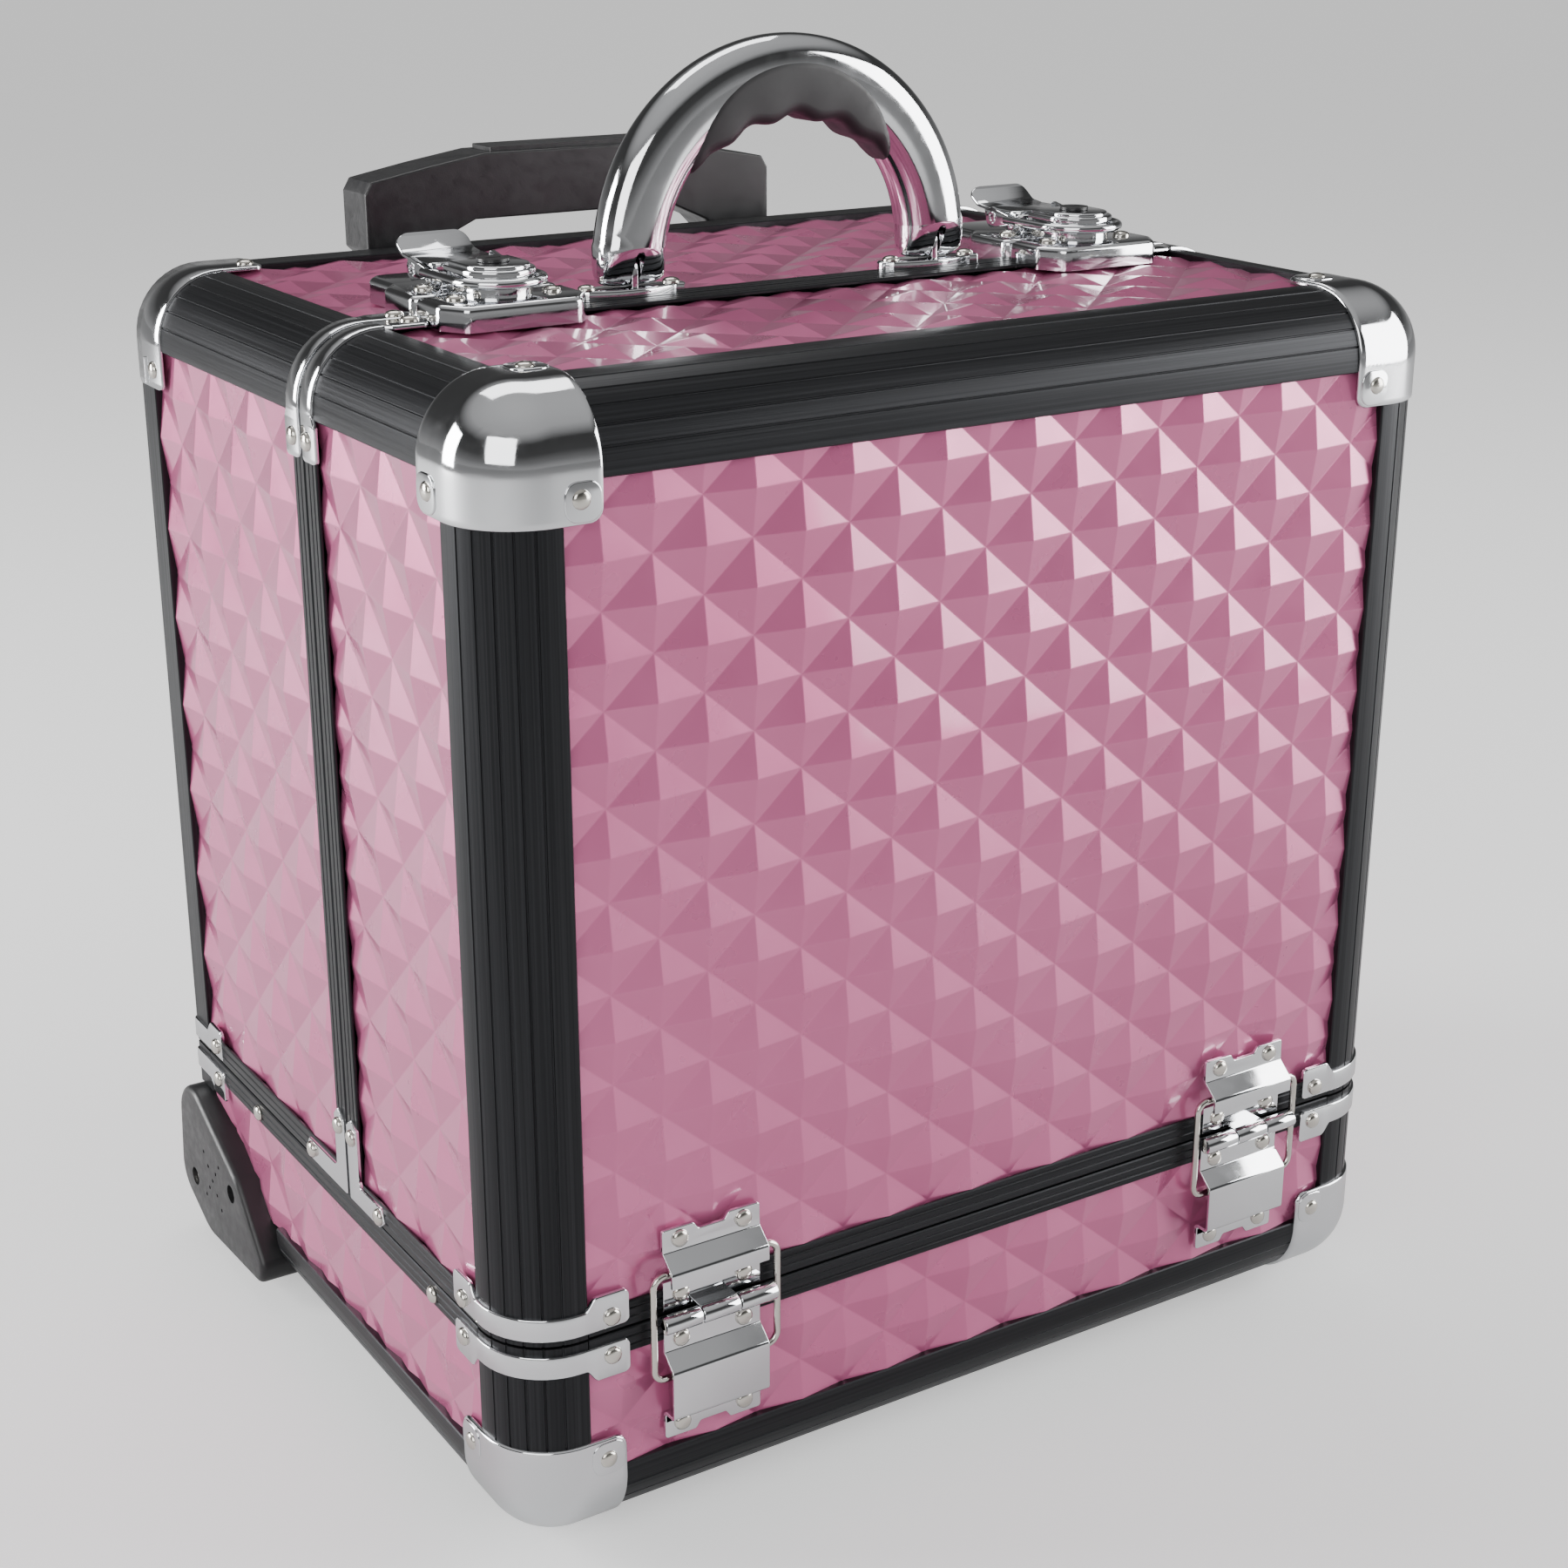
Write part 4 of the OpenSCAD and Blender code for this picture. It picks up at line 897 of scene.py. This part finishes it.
def seam_straps():
    """Straps beside the level seam at the corners, over the top edges, and the seam feet."""
    base, rear, front = Builder(), Builder(), Builder()
    width, tall, drop, ear = 9 * MM, 14 * MM, 5 * MM, 13 * MM
    z_low, z_high = Z_SEAM - 12.5 * MM, Z_UPPER + 2.5 * MM

    def band(b, path, y, z, v_axis, w_axis, wide, low, high, tip=2 * MM):
        for m in both(axes((-HALF_W, y, z), X, v_axis, w_axis)):
            strap(b, m, path, 0, wide, ear, low, high, tip=tip)

    corner = strap_path(46 * MM)
    band(base, corner, Y_FRONT, z_low, Y, Z, width, -drop, tall - drop)
    band(front, corner, Y_FRONT, z_high, Y, Z, width, 0, tall)
    square = strap_path(34 * MM, 1.5 * MM)
    band(base, square, Y_BACK, z_low, -Y, Z, width, -drop, tall - drop)
    band(rear, square, Y_BACK, z_high - 0.5 * MM, -Y, Z, width, 0, tall)
    top_reach, broad, y_broad = 45.5 * MM, 26 * MM, Y_BACK - 27 * MM
    over = strap_path(top_reach)
    band(rear, over, Y_REAR + 1 * MM, Z_TOP, -Z, Y, 10 * MM, 0, 12 * MM)
    band(front, over, Y_FORE - 11 * MM, Z_TOP, -Z, Y, 10 * MM, -2 * MM, 10 * MM)
    band(rear, over, y_broad, Z_TOP, -Z, Y, broad, 0, broad, 3 * MM)
    bead = [(0.3 * MM - PLATE_T, d, 17 * MM) for d in np.linspace(34 * MM, top_reach - 1 * MM, 8)]
    for m in both(axes((-HALF_W, y_broad, Z_TOP), X, -Z, Y)):
        wire(rear, m, bead, 1.1 * MM)
    for b, y, way, leg in ((rear, Y_REAR, 1, 42 * MM), (front, Y_FORE, -1, 34 * MM)):
        foot = [(1 * MM, 0.2 * MM), (leg - 5 * MM, 0.2 * MM), (leg, 4 * MM), (leg - 3 * MM, 9.2 * MM),
                (12 * MM, 9.2 * MM), (10.2 * MM, 11 * MM), (10.2 * MM, 33 * MM), (6 * MM, 37 * MM),
                (1 * MM, 33 * MM)]
        for m in both(axes((-HALF_W, y, Z_UPPER), Y * way, Z, -X)):
            prism(b, m, fillet(foot, 1.2 * MM), -0.3 * MM, PLATE_T, 0.5 * MM)
    base.build("base_straps", [CHROME], "case", "chrome_steel", ["base_brackets"])
    rear.build("rear_straps", [CHROME], "case", "chrome_steel", ["rear_brackets"])
    front.build("front_straps", [CHROME], "front_half", "chrome_steel", ["front_brackets"])


seam_straps()


# ---- Rivets ----


def lathe(builder, matrix, profile):
    """A solid of revolution about the matrix's third axis, profile as (radius, height)."""
    builder.grid([[(r * c, r * s, h) for c, s in circle(36)] for r, h in profile], matrix, caps=True)


def rivets():
    """A domed head on every rivet of the frame, facing the way its solid does."""
    rim, height = 0.75 * MM, 2.0 * MM
    for node, body in (("base_rivets", "case"), ("rear_rivets", "case"),
                       ("front_rivets", "front_half")):
        b = Builder()
        for points in islands(node):
            low, high = points.min(0), points.max(0)
            middle, size = (low + high) / 2, high - low
            k = int(size.argmin())
            out = np.zeros(3)
            out[k] = -1.0 if k == 1 else math.copysign(1, middle[k])
            r = max(size) / 2
            base = Vector(middle) - Vector(out) * size[k] / 2
            profile = [(r * 0.97, -0.3 * MM), (r, 0.15 * MM), (r, 0.45 * MM), (0.95 * r, rim)]
            for a in np.radians((12, 25, 40, 55, 70, 82)):
                profile.append((r * 0.93 * math.cos(a), rim + (height - rim) * math.sin(a)))
            turned = Vector(out).to_track_quat("Z", "Y").to_matrix().to_4x4()
            lathe(b, Matrix.Translation(base) @ turned, profile)
        b.build(node + "_domed", [NICKEL], body, "nickel", [node], sharp=50)


rivets()


# ---- Front hinges ----

HINGE_X = 129 * MM
HINGE_W = 41.5 * MM
BARREL_OUT = 6.5 * MM
BARREL_R = 3.5 * MM
LEAF_T = 1.4 * MM


def mm(points):
    """Points given in millimetres, as metres."""
    return [tuple(c * MM for c in p) for p in points]


def hinge_part(builder, matrix, folds, leaf, knuckles, tongue):
    """One half of a front hinge: folded sheets, an eared leaf and its knuckles.

    The matrix takes (across, out of the face, up) measured from the barrel's height."""
    across = sideways(matrix)
    half = HINGE_W / 2
    for fold in folds:
        prism(builder, across, ribbon(mm(fold), LEAF_T, 1.6 * MM), -half, half, 0.3 * MM, 0.3 * MM)
    face = matrix @ axes((0, 0, 0), X, Z, Y)
    prism(builder, face, fillet(mm(leaf), 1.3 * MM), 0, LEAF_T, 0.4 * MM)
    ends = ((0.7, 0), (0.92, 0.15), (1, 0.6))
    for x0, x1 in knuckles:
        profile = [(k * BARREL_R, (x0 + d) * MM) for k, d in ends]
        profile += [(k * BARREL_R, (x1 - d) * MM) for k, d in reversed(ends)]
        lathe(builder, sideways(matrix, (0, BARREL_OUT, 0)), profile)
        prism(builder, across, mm(tongue), max(x0 * MM, -half), min(x1 * MM, half), 0.15 * MM)


def hinges():
    """Both front hinges with their wire rings; the parts' points are in millimetres."""
    half = HINGE_W / 2 / MM
    upper_folds = [[(0.7, 2.3), (0.7, 14.2)], [(7.5, 14.6), (7.5, 20), (0.8, 25.9), (0.7, 29)]]
    upper_leaf = [(-half, 25.6), (half, 25.6), (half, 35.5), (7.5, 35.5), (5.5, 32.6), (-5.5, 32.6),
                  (-7.5, 35.5), (-half, 35.5)]
    upper_tongue = [(0, 2.3), (6.5, 2.3), (6.5, 3.4), (0, 3.5)]
    lower_folds = [[(0.7, -2.3), (0.7, -15.2), (7.5, -21.2), (7.5, -40.7), (0.7, -40.7), (0.7, -45)]]
    lower_leaf = [(-half, -52), (-7.5, -52), (-5.5, -49.1), (5.5, -49.1), (7.5, -52), (half, -52),
                  (half, -41), (-half, -41)]
    lower_tongue = [(0, -3.5), (6.5, -3.4), (6.5, -2.3), (0, -2.3)]
    ring = rounded_rectangle(-26.5 * MM, 26.5 * MM, -24 * MM, 19 * MM, 4.5 * MM, 10)
    upper, lower = Builder(), Builder()
    for side, hand in SIDES:
        m = axes((side * HINGE_X, Y_FRONT, Z_SEAM), X * side, -Y, Z)
        hinge_part(upper, m, upper_folds, upper_leaf, [(-7.7, 8.1)], upper_tongue)
        hinge_part(lower, m, lower_folds, lower_leaf, [(-24, -8), (8.4, 24)], lower_tongue)
        b = Builder()
        wire(b, m @ axes((0, 4 * MM, 0), X, Z, Y), [(*p, 0) for p in ring], 1.35 * MM, closed=True)
        node = "stay_ring_" + hand
        b.build(node + "_wire", [NICKEL], "stay_" + hand, "nickel", [node])
    upper.build("hinge_upper_sheets", [CHROME], "front_half", "chrome_steel", ["hinge_upper_plates"])
    lower.build("hinge_lower_sheets", [CHROME], "case", "chrome_steel", ["hinge_lower_plates"])


hinges()


# ---- Top latches ----

LATCH_X = 134 * MM
LATCH_TOP = 8 * MM
LEVER_Y, LEVER_Z = 16, 3.8
BAIL_Y, BAIL_Z, BAIL_X, BAIL_R = 29, 5.5, 17, 1.8
NOSE_Y, NOSE_R = -6.5, 13


def nose_outline(r):
    """Round nose in front and a straight rear edge, in millimetres from the seam."""
    return [(r, 8), (-r, 8)] + arc((0, NOSE_Y), r, 180, 360, 7.5)


def latches():
    """Pans and catches on the case, with a lever and a wire bail on each."""
    rear_plan = [(-30, 1.4), (30, 1.4), (30, 27), (25, 33), (25, 52), (20, 58), (-20, 58), (-25, 52),
                 (-25, 33), (-30, 27)]
    fore_plan = [(-30, -1), (-30, -19), (-23, -30), (23, -30), (30, -19), (30, -1)]
    y0, y1 = LEVER_Y - 3, LEVER_Y + 3
    rear_pan = fillet(mm(rear_plan), 4 * MM)
    fore_pan = fillet(mm(fore_plan), [1 * MM] + [5 * MM] * 4 + [1 * MM])
    ear = fillet(mm([(y0, 7.5), (y1, 7.5), (y1, 14.4), (y0, 14.4)]), 2.5 * MM)
    steps = ((NOSE_R, 7, 16, 0.3), (NOSE_R + 1.4, 15.8, 17.8, 0.9), (NOSE_R - 0.6, 17.8, 19.2, 0.9))
    pans, catches = Builder(), Builder()
    for side, hand in SIDES:
        m = axes((side * LATCH_X, (Y_REAR + Y_FORE) / 2, Z_TOP), X * side, Y, Z)
        prism(pans, m, rear_pan, -BOARD_IN, LATCH_TOP, 2.2 * MM)
        prism(catches, m, fore_pan, -BOARD_IN, LATCH_TOP, 2.2 * MM)
        for s in (-1, 1):
            at = sideways(m, (s * 11.6 * MM, 0, 0))
            prism(pans, at, ear, -1.2 * MM, 1.2 * MM, 0.3 * MM, 0.3 * MM)
        for r, low, high, soft in steps:
            outline = mm(nose_outline(r))
            if r == NOSE_R:
                outline = fillet(outline, 0.8 * MM, 30)
            prism(catches, m, outline, low * MM, high * MM, soft * MM)
        top = m @ Matrix.Translation((0, 0, LATCH_TOP))
        latch_lever(top, hand)
        latch_bail(top, hand)
    pans.build("latch_pans", [CHROME], "case", "chrome_steel", ["latch_base_plates"], sharp=40)
    catches.build("latch_noses", [CHROME], "front_half", "chrome_steel", ["latch_catches"], sharp=40)


def latch_lever(m, hand):
    """Lever on its pin: a plate that turns up into a thumb tab, folded sides and hollow rivets."""
    b = Builder()
    y = LEVER_Y
    path = [(y - 1.5, 7.7), (y + 20, 7.7), (y + 27, 8.6), (y + 32, 12.0), (y + 34, 15.2)]
    path = bent(mm(path), 7 * MM, 8)
    run, stations = 0.0, []
    for i, p in enumerate(path):
        q, r = np.array(path[max(i - 1, 0)]), np.array(path[min(i + 1, len(path) - 1)])
        t = unit(r - q)
        run += math.dist(p, path[i - 1]) if i else 0
        stations.append((run, p, (-t[1], t[0])))
    half = 15 * MM
    strap(b, sideways(m), stations, -half, half, thickness=1.4 * MM, tip=5 * MM, under=0)
    side = mm(arc((y, LEVER_Z), 3.3, 90, 270, 15) + [(y + 20, 3.4), (y + 22, 8.2), (y, 8.2)])
    for x in (-15, 13.1):
        prism(b, sideways(m, (x * MM, 0, 0)), side, 0, 1.9 * MM, 0.3 * MM, 0.3 * MM)
    roll = mm([(2.6, -10.1), (3.3, -9.6), (3.3, 9.6), (2.6, 10.1)])
    lathe(b, sideways(m, (0, y * MM, LEVER_Z * MM)), roll)
    for s in (-1, 1):
        for where, height, r, x in ((y, LEVER_Z, 2.3, 14.6), (BAIL_Y, BAIL_Z, 2.6, 15)):
            lip = [(0.9 * r, x), (r, x + 0.3), (r, x + 2.4), (0.85 * r, x + 2.9), (0.6 * r, x + 2.9),
                   (0.5 * r, x + 2.3)]
            lathe(b, sideways(m, (0, where * MM, height * MM), s), mm(lip))
    node = "latch_lever_" + hand
    b.build(node + "_sheet", [CHROME], "lever_" + hand, "chrome_steel", [node], sharp=40)


def latch_bail(m, hand):
    """Wire hooked round the nose, ending in flat ears on the lever."""
    b = Builder()
    path = [(BAIL_X, BAIL_Y - 9)] + arc((0, NOSE_Y), BAIL_X, 0, -180, 7.5) + [(-BAIL_X, BAIL_Y - 9)]
    wire(b, m, [(x * MM, y * MM, BAIL_Z * MM) for x, y in path], BAIL_R * MM)
    ear = arc((BAIL_Y, BAIL_Z), 4.4, -80, 80, 20)
    ear += [(BAIL_Y - 11, BAIL_Z + 2), (BAIL_Y - 11, BAIL_Z - 2)]
    for s in (-1, 1):
        at = sideways(m, (s * 16.6 * MM, 0, 0))
        prism(b, at, mm(ear), -0.9 * MM, 0.9 * MM, 0.3 * MM, 0.3 * MM)
    node = "latch_bail_" + hand
    b.build(node + "_wire", [CHROME], "bail_" + hand, "chrome_steel", [node], sharp=40)


latches()


# ---- Carry handle ----

HANDLE_Y = -18 * MM
HANDLE_R = 70 * MM
PIVOT_UP = 9.6 * MM
HANDLE_W, HANDLE_D = 28 * MM, 22 * MM
ARC_UP = 10 * MM


def stadium(width, depth):
    """Smooth section points (radial, across), a superellipse close to a stadium."""
    return [(width / 2 * math.copysign(abs(c) ** 0.8, c), depth / 2 * math.copysign(abs(s) ** 0.8, s))
            for c, s in circle(40)]


def handle_foot(across):
    """Lowest point of a leg for a point this far across, clear of the mount when it swings."""
    clear, lean = 6.2 * MM, math.radians(60)
    a = abs(across)
    if a < clear * math.sin(lean):
        return -math.sqrt(clear * clear - a * a)
    return (a * math.sin(lean) - clear) / math.cos(lean)


def carry_handle():
    """Chrome bow with round feet and a slot for each mount."""
    section = stadium(HANDLE_W, HANDLE_D)
    rows = []
    z_pivot = Z_TOP + PIVOT_UP
    for scale in (0.05, 0.3, 0.55, 0.75, 0.9, 0.97):
        rows.append([(HANDLE_R + w * scale, HANDLE_Y + d * scale,
                      z_pivot + handle_foot(d * scale) + 3 * MM * (1 - math.sqrt(1 - scale ** 4)))
                     for w, d in section])
    for share in (0.15, 0.5, 1.0):
        rows.append([(HANDLE_R + w, HANDLE_Y + d,
                      (z_pivot + handle_foot(d) + 2.2 * MM) * (1 - share) + share * (z_pivot + 9 * MM))
                     for w, d in section])
    start = math.asin((9 * MM + PIVOT_UP - ARC_UP) / HANDLE_R)
    for a in np.linspace(start, math.pi / 2, 31):
        c, s = math.cos(a), math.sin(a)
        rows.append([((HANDLE_R + w) * c, HANDLE_Y + d, Z_TOP + ARC_UP + (HANDLE_R + w) * s)
                     for w, d in section])
    rows += [[(-x, y, z) for x, y, z in row] for row in rows[-2::-1]]
    b = Builder()
    b.grid(rows, caps=True)
    obj = b.build("carry_bow", [CHROME], "carry_handle", "chrome_steel", ["carry_handle"], sharp=50)
    cutter = Builder()
    slot = rounded_rectangle(-1.9 * MM, 1.9 * MM, -12 * MM, 17 * MM, 1.8 * MM)
    for s in (-1, 1):
        at = axes((s * HANDLE_R, HANDLE_Y, Z_TOP), X, Z, Y)
        prism(cutter, at, slot, -14 * MM, 14 * MM, 0.01 * MM)
    carve(obj, cutter)


def carve(obj, cutter):
    """Cuts the builder's solids out of an object for good."""
    mesh = bpy.data.meshes.new("cutter")
    mesh.from_pydata(cutter.points, [], cutter.faces)
    tool = new_object("cutter", mesh)
    bm = bmesh.new()
    bm.from_mesh(mesh)
    bmesh.ops.recalc_face_normals(bm, faces=bm.faces)
    bm.to_mesh(mesh)
    bm.free()
    cut_out = obj.modifiers.new("cut", "BOOLEAN")
    cut_out.operation = "DIFFERENCE"
    cut_out.object = tool
    cut_out.solver = "EXACT"
    bpy.context.view_layer.update()
    evaluated = obj.evaluated_get(bpy.context.evaluated_depsgraph_get())
    made = bpy.data.meshes.new_from_object(evaluated)
    obj.modifiers.clear()
    obj.data = made
    made.shade_smooth()
    made.set_sharp_from_angle(angle=math.radians(40))
    bpy.data.objects.remove(tool)


def handle_insert():
    """Rubber insert on the inner side of the bow: pointed ends and four finger bumps."""
    span = math.radians(53)
    rows = []
    for i in range(121):
        a = span * (2 * i / 120 - 1)
        share = abs(a) / span
        close = math.sqrt(max(0.0, 1 - share ** 6))
        outer = HANDLE_R - HANDLE_W / 2 + 0.5 * MM + 19.5 * MM * (1 - share ** 2.2) ** 0.8
        bump = 1.3 * MM * math.cos(math.radians(360 / 22) * math.degrees(a) + math.pi)
        fade = min(1.0, (1 - share) / 0.12)
        inner = HANDLE_R - HANDLE_W / 2 - (3.2 * MM * (1 - share ** 3) + bump * (1 - share ** 4)) * fade
        inner = min(inner, outer - 0.3 * MM)
        half = (HANDLE_D / 2 + 0.45 * MM) * (0.35 + 0.65 * close)
        middle, thick = (outer + inner) / 2, outer - inner
        soft = min(5 * MM, thick * 0.48)
        ring = rounded_rectangle(-thick / 2, thick / 2, -half, half, soft, 18)
        rows.append([((middle + w) * math.sin(a), HANDLE_Y + d,
                      Z_TOP + ARC_UP + (middle + w) * math.cos(a)) for w, d in ring])
    b = Builder()
    b.grid(rows, caps=True)
    b.build("carry_insert", [RUBBER], "carry_handle", "black_rubber", ["carry_handle_grip"], sharp=50)


def mounts():
    """Lens-shaped plates with an upright tab and two rivets each."""
    plates, heads = Builder(), Builder()
    lens = []
    for s in (1, -1):
        lens += [(s * x, -s * 8 * (1 - (x / 24) ** 2) - s * 0.001) for x in np.linspace(-19, 19, 14)]
        lens += [(s * (19 + 5.2 * math.cos(a)), s * 5.2 * math.sin(a))
                 for a in np.radians(np.linspace(-55, 55, 8))]
    for s in (-1, 1):
        m = axes((s * HANDLE_R, HANDLE_Y, Z_TOP), X, Y, Z)
        prism(plates, m, mm(lens), -BOARD_IN, 3 * MM, 1 * MM)
        tab = [(-5, 1), (5, 1)] + arc((0, PIVOT_UP / MM), 5, 0, 180, 15)
        prism(plates, sideways(m), mm(tab), -1.3 * MM, 1.3 * MM, 0.3 * MM, 0.3 * MM)
        for x in (-18.5, 18.5):
            dome = [(3.4, 2.8), (3.5, 3.3), (3.2, 4.0), (2.4, 4.6), (1.2, 4.9)]
            lathe(heads, m @ Matrix.Translation((x * MM, 0, 0)), mm(dome))
    plates.build("mount_plates", [CHROME], "case", "chrome_steel", ["handle_mounts"], sharp=40)
    heads.build("mount_rivets", [NICKEL], "case", "nickel", sharp=50)


carry_handle()
handle_insert()
mounts()


# ---- Wheel housings ----


def wheel_housings():
    """Moulded housings with a rounded outer rim, screw recesses and a cross of vent holes."""
    blobs = [(-6, 50, 17), (-2, 24, 16), (-22, 24, 25), (-45, 30, 17), (-74, 10, 8)]
    outline = []
    for y, z, r in blobs:
        outline += arc((Y_BACK + y * MM, Z_BASE + z * MM), r * MM, 0, 360, 7.5)
    outline = hull(outline)
    inner, outer = HALF_W - 26 * MM, HALF_W + 8 * MM
    wheel_y, wheel_r = Y_BACK - 22 * MM, 30 * MM
    vents = [(0, 0)] + [(a * k * 4.6, b * k * 5.4) for k in (1, 2) for a in (-1, 1) for b in (-1, 1)]
    dome = mm([(3.2, 0), (3.2, 0.5), (2.6, 1.1), (1.4, 1.5), (0.4, 1.6)])
    for side, hand in SIDES:
        m = axes((0, 0, 0), Y, Z, X * side)
        b = Builder()
        prism(b, m, outline, inner, outer, 3 * MM)
        name = "wheel_housing_" + hand
        obj = b.build(name + "_shell", [PLASTIC], "case", "black_plastic", [name], sharp=40)
        holes = Builder()
        round_cut(holes, m, (wheel_y, wheel_r), wheel_r + 2.2 * MM, HALF_W - 17 * MM, HALF_W + 5 * MM)
        for y, z in ((140, 30), (94, 42)):
            round_cut(holes, m, (y * MM, z * MM), 4.2 * MM, outer - 2.6 * MM, outer + 2 * MM)
        for y, z in vents:
            at = (wheel_y - 5 * MM + y * MM, 38 * MM + z * MM)
            round_cut(holes, m, at, 0.9 * MM, outer - 1.6 * MM, outer + 2 * MM, 12)
        carve(obj, holes)
        screw = Builder()
        lathe(screw, m @ Matrix.Translation((140 * MM, 30 * MM, outer - 2.7 * MM)), dome)
        screw.build("housing_screw_" + hand, [NICKEL], "case", "nickel", sharp=50)


def round_cut(builder, matrix, centre, radius, low, high, turns=48):
    """A plain cylinder for carve to take away."""
    ring = [(centre[0] + radius * c, centre[1] + radius * s) for c, s in circle(turns)]
    builder.grid([[(*p, h) for p in ring] for h in (low, high)], matrix, caps=True)


wheel_housings()


# ---- CAD parts that keep their own mesh ----


def dress(node, mat, bevel):
    """Softens a CAD node's edges and gives it its material."""
    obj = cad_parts[node]
    angle = math.radians(30)
    obj.data.materials.clear()
    obj.data.materials.append(mat)
    obj.data.shade_smooth()
    obj.data.set_sharp_from_angle(angle=angle)
    weld = obj.modifiers.new("weld", "WELD")
    weld.merge_threshold = 2e-6
    if bevel:
        soft = obj.modifiers.new("bevel", "BEVEL")
        soft.width = bevel
        soft.segments = 2
        soft.limit_method = "ANGLE"
        soft.angle_limit = angle
    even = obj.modifiers.new("even", "WEIGHTED_NORMAL")
    even.keep_sharp = True


DRESSES = (
    (PLASTIC, 0.2, "lock_cylinder_left", "lock_cylinder_right"),
    (PLASTIC, 0.4, "base_floor_board"),
    (PLASTIC, 0.6, "trolley_brackets", "trolley_button"),
    (PLASTIC, 1.0, "trolley_grip"),
    (TRAY, 0.5, "tray_1", "tray_2", "tray_3"),
    (TRAY, 0.6, "base_dividers"),
    (RUBBER, 0.6, "rubber_feet"),
    (TYRE, 0, "wheel_tyre_left", "wheel_tyre_right"),
    (LINING, 0.3, "rear_floor_board"),
    (PROFILE, 0.6, "trolley_outer_tubes"),
    (NICKEL, 0.3, "hinge_pins", "handle_pins"),
    (BARE, 0.3, "wheel_axles", "tray_rails", "wheel_hub_left", "wheel_hub_right"),
    (BARE, 0.5, "trolley_middle_tubes", "trolley_inner_tubes"),
)
for mat, bevel, *nodes in DRESSES:
    for node in nodes:
        dress(node, mat, bevel * MM)


# ---- Studio ----


def floor():
    """Pale floor, brighter to the camera than to what reflects it."""
    size = 40.0
    mesh = bpy.data.meshes.new("floor")
    corners = [(-size, -size, 0), (size, -size, 0), (size, size, 0), (-size, size, 0)]
    mesh.from_pydata(corners, [], [(0, 1, 2, 3)])
    pale = new_material("floor_paper", (0.60, 0.60, 0.60), 0.8)
    pale.node_tree.nodes["Principled BSDF"].inputs["Emission Color"].default_value = (1, 1, 1, 1)
    seen = add_node(pale.node_tree, "ShaderNodeLightPath").outputs["Is Camera Ray"]
    feed(pale, "Emission Strength", add_range(pale, seen, 0.05, 0.60, 0, 1))
    add_bump(pale, add_noise(pale, 300, 2), 0.05 * MM)
    mesh.materials.append(pale)
    new_object("floor", mesh)


def surroundings():
    """Plain grey to the camera, and bands of light and dark for metal to reflect."""
    stops = [(0.0, 0.8), (0.5, 0.55), (0.56, 0.28), (0.64, 0.10), (0.76, 0.08), (0.86, 0.7), (1.0, 0.9)]
    world = bpy.data.worlds.new("studio")
    bpy.context.scene.world = world
    world.use_nodes = True
    tree = world.node_tree
    tree.nodes.clear()
    where = add_node(tree, "ShaderNodeTexCoord").outputs["Generated"]
    height = add_node(tree, "ShaderNodeSeparateXYZ", Vector=where).outputs["Z"]
    share = add_node(tree, "ShaderNodeMapRange", Value=height, From_Min=-1).outputs["Result"]
    ramp = add_node(tree, "ShaderNodeValToRGB", Fac=share)
    while len(ramp.color_ramp.elements) < len(stops):
        ramp.color_ramp.elements.new(0.5)
    for element, (place, grey) in zip(ramp.color_ramp.elements, stops):
        element.position = place
        element.color = (grey, grey, grey, 1)
    bands = add_node(tree, "ShaderNodeBackground", Color=ramp.outputs["Color"], Strength=0.6)
    plain = add_node(tree, "ShaderNodeBackground", Color=(0.90, 0.90, 0.90, 1))
    seen = add_node(tree, "ShaderNodeLightPath").outputs["Is Camera Ray"]
    mix = add_node(tree, "ShaderNodeMixShader", Fac=seen)
    tree.links.new(bands.outputs["Background"], mix.inputs[1])
    tree.links.new(plain.outputs["Background"], mix.inputs[2])
    add_node(tree, "ShaderNodeOutputWorld", Surface=mix.outputs["Shader"])


def aim_at(obj, place, target):
    """Puts a light or a camera at a place and turns it to the target."""
    obj.location = place
    obj.rotation_mode = "QUATERNION"
    obj.rotation_quaternion = (Vector(place) - Vector(target)).to_track_quat("Z", "Y")


def soft_box(name, place, width, height, watts):
    """A rectangular light turned to the middle of the case."""
    light = bpy.data.lights.new(name, "AREA")
    light.shape = "RECTANGLE"
    light.size, light.size_y, light.energy = width, height, watts
    obj = new_object(name, light)
    aim_at(obj, place, (0, 0, 0.25))


def camera():
    """The photograph's viewpoint."""
    data = bpy.data.cameras.new("camera")
    data.lens = 59
    data.clip_start = 0.05
    obj = new_object("camera", data)
    yaw, pitch = math.radians(-32.39), math.radians(19.94)
    back = Vector((math.sin(yaw) * math.cos(pitch), -math.cos(yaw) * math.cos(pitch), math.sin(pitch)))
    aim = Vector((0.004, -0.012, 0.224))
    aim_at(obj, aim + back * 1.10, aim)
    bpy.context.scene.camera = obj


floor()
surroundings()
soft_box("key_right", (2.05, -1.20, 0.85), 1.5, 1.7, 76)
soft_box("side_left", (-2.0, 1.30, 0.85), 1.0, 1.4, 88)
soft_box("fill_front", (-1.7, -1.5, 1.3), 1.6, 1.4, 28)
soft_box("top_back", (0.2, 0.9, 2.1), 1.4, 0.9, 14)
camera()
